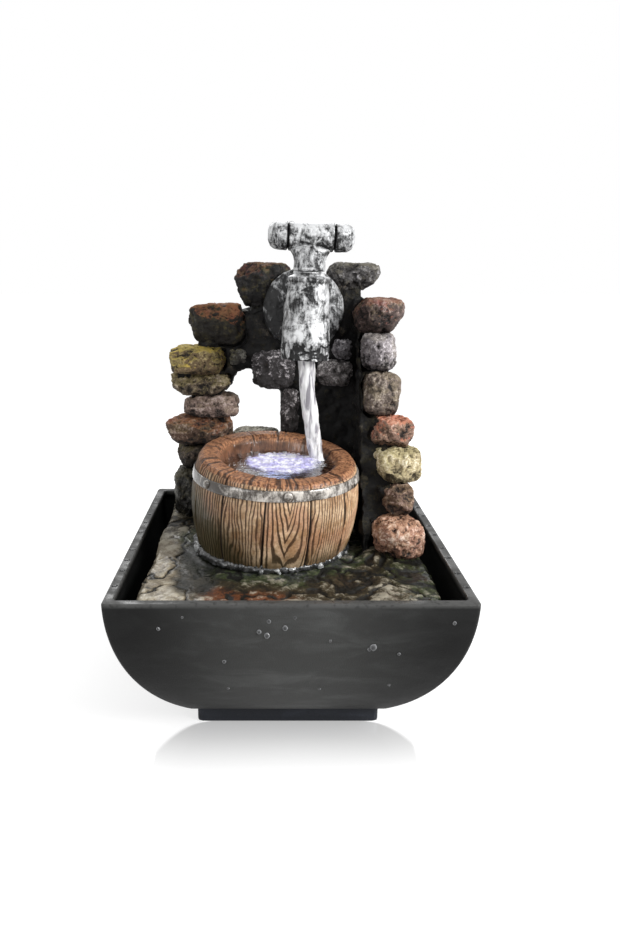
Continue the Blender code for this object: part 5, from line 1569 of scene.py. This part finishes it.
    def rubble(self) -> Skin:
        """The ring round the foot: a low rounded bank broken into small stones.

        Returns:
            Its skin.
        """
        low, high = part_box("barrel_foot_ring")
        outer, tall = (high.x - low.x) / 2, high.z - low.z
        keys = [(outer - 0.009, 0.0), (outer, 0.0), (outer, tall * 0.5), (outer - 0.0008, tall * 0.85)]
        keys += [(outer - 0.0030, tall), (outer - 0.009, tall)]
        middle = np.array([(low.x + high.x) / 2, (low.y + high.y) / 2, low.z])
        skin = Skin(lathe(resampled(keys, 36, 2), 480) + middle, Ends.LOOP)
        inside, own = cobbles(skin.points, 0.0038, 61)
        stones = eased(inside, 0.0, 0.4)
        fine = rough_noise(skin.points, 0.003, 19, 3)
        skin = skin.raised(0.0009 * (stones * (0.4 + own) - 0.35) + 0.0003 * fine)
        skin.points[..., 2] = np.maximum(skin.points[..., 2], low.z)
        skin.masks = {"relief": np.clip(stones * (0.3 + 0.7 * own), 0, 1), "own": own}
        return skin

    def build(self) -> None:
        """Makes the barrel, the hoop and the rubble ring."""
        worn = SilverFinish("hoop_worn_silver", (196, 190, 182), (50, 41, 31), -0.24, 0.0008, 1.0).look()
        for name, skins, look, slot, node in (
            ("barrel_staves", [self.body()], self.wood(), "barrel_wood", "barrel"),
            ("hoop_band", self.hoop(), worn, "aged_silver", "barrel_hoop"),
            ("foot_rubble", [self.rubble()], self.rubble_look(), "aged_silver", "barrel_foot_ring"),
        ):
            finish_piece(mesh_object(name, skins), look, Body.ROCKWORK, slot, node)

    def wood(self) -> Material:
        """Painted wood: tan staves with dark lines, a red-brown rim, a wet green foot, and painted shade that
        darkens the left side.

        Returns:
            The material.
        """
        look = Look("barrel_painted_wood", Coat_Roughness=0.15, Specular_IOR_Level=0.3)
        fine = look.noise(0.0008, 4.0, 0.6, stretch=(1.0, 1.0, 0.14))
        mottle, speck = look.noise(0.008, 4.0, 0.6), look.noise(0.0016, 4.0, 0.65)
        damp, inside = look.mask("damp"), look.mask("inner")
        cracks = look.mask("crack").eased(0.15, 0.6)
        wave = look.math("SINE", (look.mask("grain") + 0.5 * look.noise(0.006, 3.0)) * (2 * math.pi))
        lines = (0.5 * wave + 0.5 + 0.7 * fine - 0.35).eased(0.48, 0.90)
        outer = look.mix(mottle.eased(0.35, 0.65), (178, 138, 100), (234, 204, 168))
        for share, colour in (
            (0.35 * look.mask("own"), (128, 110, 88)),
            (look.noise(0.016, 2.0).eased(0.45, 0.62, 0.0, 0.5), (158, 94, 62)),
            (speck.eased(0.35, 0.6, 0.35, 0.0), (92, 62, 38)),
            (0.88 * lines, (54, 34, 20)),
            # Dark green: wetness toward the foot, and painted shade on the left side.
            (0.86 * damp, (40, 40, 16)),
            (look.mask("joint").eased(0.25, 0.8), (28, 18, 12)),
        ):
            outer = look.mix(share, outer, colour)
        rim = look.mix(speck.eased(0.36, 0.62), (92, 56, 38), (178, 128, 92))
        inner = look.mix(mottle.eased(0.3, 0.7), (74, 46, 30), (138, 92, 62))
        colour = look.mix(look.mask("rim"), outer, look.mix(0.8 * cracks, rim, (34, 20, 14)))
        colour = look.mix(inside, colour, look.mix(0.6 * cracks, inner, (40, 24, 16)))
        wet = look.noise(0.015, 3.0).eased(0.5, 0.68) * (0.2 * damp + 0.15) + 0.8 * inside
        height = 0.6 - 0.6 * lines + 0.25 * fine + 0.3 * speck
        out = {"Color": colour, "Roughness": 0.62 - 0.25 * mottle, "Height": height}
        return look.wear(out, 0.0004, Coat_Weight=wet)

    def rubble_look(self) -> Material:
        """Dark wet small stones, some of them white.

        Returns:
            The material.
        """
        look = Look("rubble_wet", Coat_Weight=0.7, Coat_Roughness=0.06)
        speck = look.noise(0.0012, 4.0, 0.6)
        stone = look.mix(look.mask("own").eased(0.86, 0.92), (40, 42, 44), (176, 178, 178))
        stone = look.mix(speck.eased(0.35, 0.62), look.mix(0.6, stone, (0, 0, 0)), stone)
        colour = look.mix(look.mask("relief").eased(0.05, 0.35), (12, 11, 9), stone)
        return look.wear({"Color": colour, "Roughness": 0.4 * speck + 0.2, "Height": speck}, 0.0005)


@dataclass
class Tap:
    """The cast tap: flange, pipe with spout, collar and turning T handle."""

    place: Point = (0.0103, 0.053, 0.214)
    lean: float = math.radians(2.4)
    flange_radius: float = 0.0242
    flange_hole: float = 0.0065
    flange_edge: float = 0.0028
    flange_dome: float = 0.0075
    pipe_radius: float = 0.0120
    spout_radius: float = 0.0133
    bore: float = 0.0085
    tail_bore: float = 0.0033
    reach: float = 0.045
    drop: float = 0.0240
    bend: float = 0.0142
    straight_steps: int = 25
    bend_steps: int = 70
    collar_radius: float = 0.0113
    collar_foot: float = -0.0045
    collar_top: float = 0.0222
    collar_ring: float = 0.0028
    collar_outside_rings: int = 90
    dent_size: float = 0.0075
    gouge_size: float = 0.0055
    lip_outside: float = 0.0006
    lip_inside: float = 0.0008
    hatch_top: float = 0.0105
    hatch_foot: float = 0.007
    hatch_depth: float = 0.0005
    saddle_radius: float = 0.0121
    saddle_side: float = 0.0119
    saddle_sink: float = 0.0012
    neck_radius: float = 0.0084
    neck_rise: float = 0.0100
    neck_flare: float = 0.0026
    bar_half: float = 0.0228
    bar_radius: float = 0.0074
    groove_at: float = 0.0122
    groove_depth: float = 0.00132
    groove_width: float = 0.0011
    spindle_radius: float = 0.0030
    spindle_depth: float = 0.009
    gap: float = 0.0003

    def __post_init__(self) -> None:
        """Works out the tap's own frame."""
        self.frame = Matrix.Translation(self.place) @ Matrix.Rotation(self.lean, 4, "Y")
        self.stem = self.frame @ Matrix.Translation((0.0, -self.reach, 0.0))

    def hammered(self, skin: Skin, depth: float, seed: int) -> Skin:
        """Dents a skin as hammered cast metal, and keeps the relief as a mask, raised on up-facing surfaces
        as painted light from above.

        Args:
            skin: the smooth skin.
            depth: how deep the dents are.
            seed: picks another pattern.

        Returns:
            The dented skin.
        """
        rough = rough_noise(skin.points, self.dent_size, seed, 5, 0.6)
        lines = rough_noise(skin.points, self.gouge_size, seed + 9, 3, 0.6)
        gouges = 1 - eased(np.abs(lines), 0.0, 0.10)
        height = 0.7 * rough - 0.5 * gouges * (rough < 0.1)
        # Painted light: up-facing surfaces get more relief, so the brushed silver is brighter on top and
        # darker underneath.
        relief = np.clip(0.5 + 0.5 * height + 0.4 * skin.normals()[..., 2], 0.0, 1.0)
        return replace(skin.raised(depth * height), masks={"relief": relief, "brush": 0.0} | skin.masks)

    def flange(self) -> Skin:
        """The domed flange, turned round the pipe's axis, brushed brighter toward its right side as painted
        light.

        Returns:
            Its skin.
        """
        radius, hole, back = self.flange_radius, self.flange_hole, -self.gap
        front = back - self.flange_edge
        dome = self.flange_dome - self.flange_edge
        keys = [(hole, back), (radius - 0.0006, back), (radius, back - 0.0006), (radius, front)]
        keys += [(radius * 0.9, front - dome * 0.45), (radius * 0.7, front - dome * 0.8)]
        keys += [(self.pipe_radius, -self.flange_dome), (hole, -self.flange_dome)]
        turn = Matrix.Rotation(-math.pi / 2, 4, "X")
        made = self.hammered(Skin(lathe(resampled(keys, 90, 2), 200), Ends.LOOP).placed(turn), 0.0007, 3)
        # Painted light: the relief rises toward the right, so the flange is brighter on its lit right side
        # and darker on its left.
        made.masks["relief"] = made.masks["relief"] + 0.4 * made.points[..., 0] / radius
        return made.placed(self.frame)

    def pipe(self) -> Skin:
        """The pipe: rings on a straight, a quarter bend and a drop, out to the mouth and back up the bore.

        Returns:
            Its skin, hatched near the mouth.
        """
        y_bend = -self.reach + self.bend
        steps = self.straight_steps
        straight = np.linspace(-self.flange_dome + 0.001, y_bend, steps + 1)[:-1]
        turn = np.linspace(0.0, math.pi / 2, self.bend_steps)
        low = np.linspace(-self.bend, -self.drop, steps + 1)[1:]
        y = np.concatenate([straight, y_bend - self.bend * np.sin(turn), np.full(steps, -self.reach)])
        z = np.concatenate([0 * straight, -self.bend + self.bend * np.cos(turn), low])
        path = joined(0 * y, y, z)
        ahead = np.gradient(path, axis=0)
        ahead /= np.linalg.norm(ahead, axis=1, keepdims=True)
        side = np.array([1.0, 0.0, 0.0])
        up = np.cross(ahead, side)
        share = np.clip((np.arange(len(y)) - steps) / (self.bend_steps - 1), 0.0, 1.0)
        outer = self.pipe_radius + (self.spout_radius - self.pipe_radius) * share
        bore = self.tail_bore + (self.bore - self.tail_bore) * share
        lip = np.array([self.spout_radius - self.lip_outside, self.bore + self.lip_inside])
        angle = turns(180)[None, :, None]

        def rings(radius: Array, picks: Array) -> Array:
            """Circles at the path's picked points, each with its radius."""
            circle = side * np.cos(angle) + up[picks][:, None, :] * np.sin(angle)
            return path[picks][:, None, :] + radius[:, None, None] * circle

        every, last = np.arange(len(y)), np.full(2, len(y) - 1)
        points = np.concatenate([rings(outer, every), rings(lip, last), rings(bore, every)[::-1]])
        near = eased(-points[..., 2], self.drop - self.hatch_top, self.drop - self.hatch_foot)
        tall, flat = (rough_noise(points * np.array([1.0, 1.0, z]), 0.0050, 5, 2) for z in (0.6, 1.4))
        hatch = near * (1 - eased(np.minimum(np.abs(tall), np.abs(flat)), 0.04, 0.15))
        skin = Skin(points, Ends.LOOP, {"brush": hatch}).raised(-self.hatch_depth * hatch)
        return self.hammered(skin, 0.0007, 11).placed(self.frame)

    def collar(self) -> Skin:
        """The collar on the elbow: turned, with its foot shaped to the elbow's torus.

        Returns:
            Its skin.
        """
        radius, ring, top = self.collar_radius, self.collar_ring, self.collar_top
        low, high, hole = top - 2 * ring, top - ring, self.spindle_radius + self.gap
        floor = top - self.spindle_depth - self.gap
        keys = [(radius, self.collar_foot), (radius * 1.02, low / 2), (radius * 0.93, low)]
        keys += [(radius, low + ring * 0.3), (radius, high)]
        keys += [(self.neck_radius, high + ring * 0.3), (self.neck_radius, top), (hole, top)]
        keys += [(hole, floor), (0.0005, floor)]
        under = joined(np.linspace(0.0005, radius, 12), self.collar_foot)[:-1]
        points = lathe(np.concatenate([under, resampled(keys, 110, 1)]), 140)
        side = np.clip(points[..., 0], -self.saddle_side, self.saddle_side)
        tube = self.bend + np.sqrt(self.saddle_radius**2 - side**2)
        crown = np.sqrt(np.maximum(tube**2 - (self.bend - points[..., 1]) ** 2, 1e-9))
        saddle = -self.bend + crown - self.saddle_sink
        outside = np.arange(len(points))[:, None] < self.collar_outside_rings
        points[..., 2] = np.where(outside, np.maximum(points[..., 2], saddle), points[..., 2])
        return self.hammered(Skin(points), 0.0005, 23).placed(self.stem)

    def handle(self) -> list[Skin]:
        """The T handle: a turned bar with two grooves, and a neck with its spindle.

        Returns:
            The bar's skin, then the neck's.
        """
        r, half, at, wide = self.bar_radius, self.bar_half, self.groove_at, self.groove_width / 2
        left = [(r * 0.05, -half), (r * 0.35, -half), (r * 0.72, -half * 0.95), (r * 0.94, -half * 0.84)]
        left += [(r, -half * 0.68), (r, -at - wide), (r - self.groove_depth, -at), (r, -at + wide)]
        keys = left + [(radius, -along) for radius, along in left[::-1]]
        neck_r, rise, flare, spindle = self.neck_radius, self.neck_rise, self.neck_flare, self.spindle_radius
        lay = Matrix.Translation((0.0, 0.0, rise + r)) @ Matrix.Rotation(math.pi / 2, 4, "Y")
        bar = Skin(lathe(resampled(keys, 150, 1), 120)).placed(lay)
        bar.masks["brush"] = 1 - eased(np.abs(np.abs(bar.points[..., 0]) - at), wide * 0.4, wide * 1.6)
        keys = [(0.0004, -self.spindle_depth), (spindle, -self.spindle_depth), (spindle, 0.0), (neck_r, 0.0)]
        keys += [(neck_r, rise * 0.5), (neck_r + flare * 0.3, rise * 0.78), (neck_r + flare, rise + r * 0.1)]
        keys += [(neck_r, rise + r * 0.5), (r * 0.6, rise + r), (0.0004, rise + r)]
        neck = Skin(lathe(resampled(keys, 110, 1), 120))
        neck.points[..., 1] *= 1 - 0.32 * eased(neck.points[..., 2], rise * 0.6, rise + r * 0.5)
        stand = self.stem @ Matrix.Translation((0.0, 0.0, self.collar_top + self.gap))
        return [self.hammered(skin, 0.0006, 31 + k).placed(stand) for k, skin in enumerate((bar, neck))]

    def build(self) -> None:
        """Makes the tap's pieces."""
        bright = SilverFinish("tap_silver").look()
        dull = SilverFinish("flange_silver", (176, 177, 178), cover=-0.21, bump=0.0009).look()
        for name, skins, look, body, node in (
            ("tap_flange_dome", [self.flange()], dull, Body.ROCKWORK, "tap_flange"),
            ("tap_spout", [self.pipe()], bright, Body.ROCKWORK, "tap_pipe"),
            ("tap_bonnet", [self.collar()], bright, Body.ROCKWORK, "tap_collar"),
            ("tap_t_handle", self.handle(), bright, Body.HANDLE, "tap_handle"),
        ):
            finish_piece(mesh_object(name, skins), look, body, "aged_silver", node)


# Where drops cling to the bowl's front: across, up, and how big
FRONT_DROPS = (
    (-0.0027, 0.0778, 0.0013), (-0.0111, 0.0736, 0.0014), (-0.0148, 0.0757, 0.0011),
    (0.0019, 0.0835, 0.0013), (-0.0102, 0.0814, 0.0012), (-0.0125, 0.0868, 0.0008),
    (0.0388, 0.0668, 0.0017), (0.0371, 0.0655, 0.0010), (0.0513, 0.0626, 0.0008),
    (0.0755, 0.0804, 0.0010), (-0.0501, 0.0835, 0.0007), (-0.0315, 0.0578, 0.0010),
    (0.0185, 0.0705, 0.0006), (-0.0615, 0.0773, 0.0009), (-0.0304, 0.0376, 0.0007),
    (0.0149, 0.0371, 0.0008), (0.0490, 0.0404, 0.0007),
)


@dataclass
class Water:
    """The barrel's water with its lit foam, the stream, and drops."""

    barrel: Barrel
    bowl: Bowl
    level: float = 0.1325
    depth: float = 0.0012
    stream_top: Point = (0.0100, 0.008, 0.1935)
    stream_foot: Point = (0.0172, 0.0070, 0.1322)
    stream_radius: float = 0.0046
    stream_fall: float = 1.6
    stream_flatness: float = 0.75
    foam_centre: tuple[float, float] = (-0.0038, 0.0012)
    foam_radii: tuple[float, float] = (0.0245, 0.0262)
    ripple_turns: float = 2200
    ripple_fade: float = 0.012
    ripple_rise: float = 0.00035
    foam_skin: float = 0.0003
    foam_lump: float = 0.0008
    foam_splash: float = 0.0016
    splash_radius: float = 0.0075
    rim_drop_size: tuple[float, float] = (0.0016, 0.0022)
    rim_drop_spread: float = 0.003
    rim_drops: tuple[float, ...] = (-0.071, -0.052, -0.033, -0.018, 0.002, 0.019, 0.034, 0.052, 0.068)

    def shore(self, around: int) -> Array:
        """Where the still water meets the basin: on each line down it, the place at the water's level.

        Args:
            around: how many lines.

        Returns:
            Points, (around, 3).
        """
        basin = lathe(self.barrel.basin(np.linspace(0.0, 1.0, 200)), around)
        points = Skin(basin).placed(self.barrel.frame).points
        below = np.argmax(points[..., 2] < self.level, axis=0)
        turn = np.arange(around)
        high, low = points[np.maximum(below - 1, 0), turn], points[below, turn]
        part = (high[:, 2:] - self.level) / np.maximum(high[:, 2:] - low[:, 2:], 1e-9)
        return high + (low - high) * np.clip(part, 0.0, 1.0)

    def from_stream(self, x: Array, y: Array) -> Array:
        """How far a place on the water is from the stream's foot."""
        return np.hypot(x - self.stream_foot[0], y - self.stream_foot[1])

    def pool(self) -> Skin:
        """A thin lens of water: the shore drawn in towards its middle, rippled in rings round the stream.

        Returns:
            Its skin.
        """
        shore = self.shore(240)
        middle = shore.mean(axis=0)
        above, below = np.linspace(0.01, 1.0, 70), np.linspace(1.0, 0.01, 12)
        share = np.concatenate([above, below])[:, None]
        points = middle + (shore - middle) * share[..., None]
        gap = self.from_stream(points[..., 0], points[..., 1])
        rings = np.sin(gap * self.ripple_turns) * np.exp(-gap / self.ripple_fade) * self.ripple_rise
        top = self.level + rings + rough_noise(points, 0.005, 6, 3) * 0.00022 * eased(1 - share, 0.0, 0.1)
        is_top = np.arange(len(share))[:, None] < len(above)
        points[..., 2] = np.where(is_top, top, self.level - self.depth)
        return Skin(points)

    def foam(self) -> Skin:
        """A patch of foam on the water: an ellipse with lumps and a thin edge.

        Returns:
            Its skin, with its cover and lumps.
        """
        angle = turns(200)
        above, below = np.linspace(0.01, 1.0, 80), np.linspace(0.985, 0.01, 6)
        share = np.concatenate([above, below])[:, None]
        edge = 1 + 0.10 * rough_noise(joined(np.cos(angle), np.sin(angle), 0 * angle), 0.45, 14, 3)
        x = self.foam_centre[0] + self.foam_radii[0] * share * edge * np.cos(angle)
        y = self.foam_centre[1] + self.foam_radii[1] * share * edge * np.sin(angle)
        flat = joined(x, y, 0.0)
        inside, own = cobbles(flat, 0.0034, 71)
        lumps = eased(inside, 0.0, 0.5) * (0.4 + 0.6 * own)
        splash = np.exp(-((self.from_stream(x, y) / self.splash_radius) ** 2))
        rise = self.foam_skin + self.foam_lump * lumps + self.foam_splash * splash
        rise = rise * eased(1 - share, 0.0, 0.12)
        is_top = np.arange(len(share))[:, None] < len(above)
        z = np.where(is_top, self.level + 0.0002 + rise, self.level - 0.0002)
        cover = eased(1 - share + 0.10 * rough_noise(flat, 0.006, 9), 0.02, 0.35)
        return Skin(joined(x, y, z), masks={"cover": np.clip(cover + splash, 0.0, 1.0), "lumps": lumps})

    def stream(self) -> Skin:
        """The falling water: circles on a falling path, with edges that waver more on the way down.

        Returns:
            Its skin.
        """
        top, foot = np.array(self.stream_top), np.array(self.stream_foot)
        share = np.linspace(0.0, 1.0, 220)[:, None]
        path = top + (foot - top) * np.concatenate([share**self.stream_fall, share, share], axis=1)
        angle = turns(72)
        wobble = rough_noise(joined(np.cos(angle), np.sin(angle), share * 7), 0.8, 25, 4)
        ropes = np.sin(3 * angle + share * 14) * 0.5 + np.sin(5 * angle - share * 22) * 0.3
        grow = 1 + (0.16 * ropes + 0.30 * wobble) * (0.35 + 0.65 * share)
        body = self.stream_radius * (1.0 - 0.12 * share) * grow
        x = path[:, :1] + body * np.cos(angle)
        y = path[:, 1:2] + body * np.sin(angle) * self.stream_flatness
        return Skin(joined(x, y, path[:, 2:]), masks={"froth": eased(share + 0.5 * wobble, 0.3, 1.1)})

    @staticmethod
    def bead(centre: Point, size: Point, dark: float = 0.0) -> Skin:
        """A small drop: a squashed ball with a few dozen faces.

        Args:
            centre: its place.
            size: half its size along each axis.
            dark: how dark it is painted, from 0 to 1, as painted reflection.

        Returns:
            Its skin.
        """
        lift = np.linspace(-math.pi / 2 + 0.25, math.pi / 2 - 0.25, 6)
        ball = lathe(joined(np.cos(lift), np.sin(lift)), 10)
        return Skin(np.array(centre) + ball * np.array(size), masks={"dark": dark})

    def drops(self) -> list[Skin]:
        """Drops that cling to the bowl's front, painted darker toward their front, and wet ones across its
        side rims, painted near-black: both darkenings are painted reflection.

        Returns:
            Their skins.
        """
        bowl = self.bowl
        skins = []
        for x, z, r in FRONT_DROPS:
            out = min(bowl.half(z), bowl.outer - r * 0.6)
            skin = self.bead((x, -out, z), (r, r * 0.6, r * 1.15))
            # Painted reflection: each front drop is painted darker toward its front.
            skin.masks["dark"] = 0.55 + 0.42 * np.clip((-out - skin.points[..., 1]) / (r * 0.6), 0.0, 1.0)
            skins.append(skin)
        chance = np.random.default_rng(12)
        for side in (-1, 1):
            x = side * (bowl.outer - bowl.rim_width / 2)
            for y in self.rim_drops:
                wide = chance.uniform(*self.rim_drop_size)
                centre = (x, y + chance.normal() * self.rim_drop_spread, bowl.rim - 0.0002)
                # Painted reflection: the rim drops are painted near-black, as water that mirrors dark
                # surroundings.
                skins.append(self.bead(centre, (wide, wide * 0.95, 0.0006), dark=0.97))
        return skins

    def build(self) -> None:
        """Makes the water's pieces."""
        for name, skins, look, body in (
            ("barrel_water", [self.pool()], self.clear_look("water_clear", 1.0), Body.ROCKWORK),
            ("water_foam", [self.foam()], self.foam_look(), Body.ROCKWORK),
            ("water_stream", [self.stream()], self.stream_look(), Body.ROCKWORK),
            ("bowl_drops", self.drops(), self.clear_look("water_drops", 0.3), Body.BOWL),
        ):
            finish_piece(mesh_object(name, skins), look, body, "clear_plastic")

    @staticmethod
    def clear_look(name: str, clear: float) -> Material:
        """Clear water with a fine ripple, painted dark where the dark mask stands for reflection in the
        drops.

        Args:
            name: the material's name.
            clear: how much light goes through.

        Returns:
            The material.
        """
        look = Look(name, Transmission_Weight=clear, IOR=1.33)
        ripple = look.noise(0.003, 2.0)
        # Painted reflection: the dark mask turns the base colour near-black.
        colour = look.mix(look.mask("dark"), (250, 252, 255), (4, 4, 4))
        return look.wear({"Color": colour, "Roughness": 0.04 * ripple, "Height": ripple}, 0.0002)

    @staticmethod
    def foam_look() -> Material:
        """White foam with a painted lilac tint and a faint glow, standing in for the lamp's light from below.

        Returns:
            The material.
        """
        # Painted light: a faint glow and a lilac tint stand in for the lamp below shining through the foam.
        look = Look("water_foam_lit", Emission_Strength=0.22)
        feeds = {"Vector": look.where(), "Scale": 1.0 / 0.0014}
        bubbles = look.put("ShaderNodeTexVoronoi", feeds, "Distance")
        white = look.mix(look.noise(0.006, 3.0).eased(0.4, 0.6), (186, 182, 226), (240, 240, 250))
        cover = look.mask("cover") + 0.35 * look.mask("lumps") - 0.5 * bubbles - 0.10
        out = {"Color": white, "Roughness": 0.4 * bubbles + 0.15, "Height": bubbles}
        return look.wear(out, 0.0006, Emission_Color=white, Alpha=cover.eased(0.15, 0.75))

    @staticmethod
    def stream_look() -> Material:
        """Clear falling water with ropes along it.

        Returns:
            The material.
        """
        look = Look("water_stream_clear", Transmission_Weight=0.3, IOR=1.33)
        ropes = look.noise(0.0022, 2.0, 0.5, 0.5, (1.0, 1.0, 0.16))
        white = look.mix(ropes.eased(0.35, 0.56), (158, 155, 162), (255, 255, 255))
        rough = 0.25 * look.mask("froth") + 0.06
        return look.wear({"Color": white, "Roughness": rough, "Height": ropes}, 0.0008)


@dataclass
class Works:
    """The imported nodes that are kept: foot, grommet, screws, pump, lamp and the water's way."""

    finishes: tuple[tuple[MouldingFinish, str], ...] = (
        (MouldingFinish("foot_blue_black", (26, 28, 33), (42, 45, 52), 0.5, specular=0.16), "bowl_foot"),
        (MouldingFinish("soft_rubber", (22, 22, 23), (46, 46, 46), 0.7), "cord_grommet"),
        (
            MouldingFinish("screw_steel", (160, 160, 158), (205, 205, 202), 0.3, metallic=1.0),
            "cover_screw_low cover_screw_high",
        ),
        (
            MouldingFinish("pump_moulding", (26, 26, 28), (52, 52, 55), 0.38),
            "pump_housing pump_cover pump_strainer pump_outlet flow_gate hose_elbow lamp_body lamp_nut",
        ),
        (
            MouldingFinish("cup_rubber", (30, 30, 31), (58, 57, 56), 0.72),
            "pump_gland suction_cup_1 suction_cup_2 suction_cup_3 suction_cup_4 lamp_seal",
        ),
        (MouldingFinish("shaft_ceramic", (226, 224, 214), (240, 239, 232), 0.25), "pump_shaft"),
        (MouldingFinish("rotor_ferrite", (58, 58, 61), (92, 92, 95), 0.4), "rotor_magnet"),
        (MouldingFinish("impeller_moulding", (222, 222, 216), (240, 240, 236), 0.35), "impeller"),
        (
            MouldingFinish("lamp_board_lit", (176, 186, 250), (226, 230, 255), 0.5, emission=1.2),
            "lamp_board",
        ),
        (
            MouldingFinish("tube_clear", (226, 234, 238), (240, 244, 246), 0.12, transmission=0.9),
            "riser_tube lamp_lens",
        ),
    )

    def build(self) -> None:
        """Dresses every kept node."""
        for finish, nodes in self.finishes:
            look = finish.look()
            for node in nodes.split():
                dress(node, look)


def main() -> None:
    """Builds the studio and every sub-assembly, in order."""
    logging.basicConfig(level=logging.INFO, format="%(name)s: %(message)s")
    Studio().build()
    bowl, barrel = Bowl(), Barrel()
    for assembly in (bowl, Ground(), Wall(), barrel, Tap(), Water(barrel, bowl), Works()):
        assembly.build()


if __name__ == "__main__":
    main()
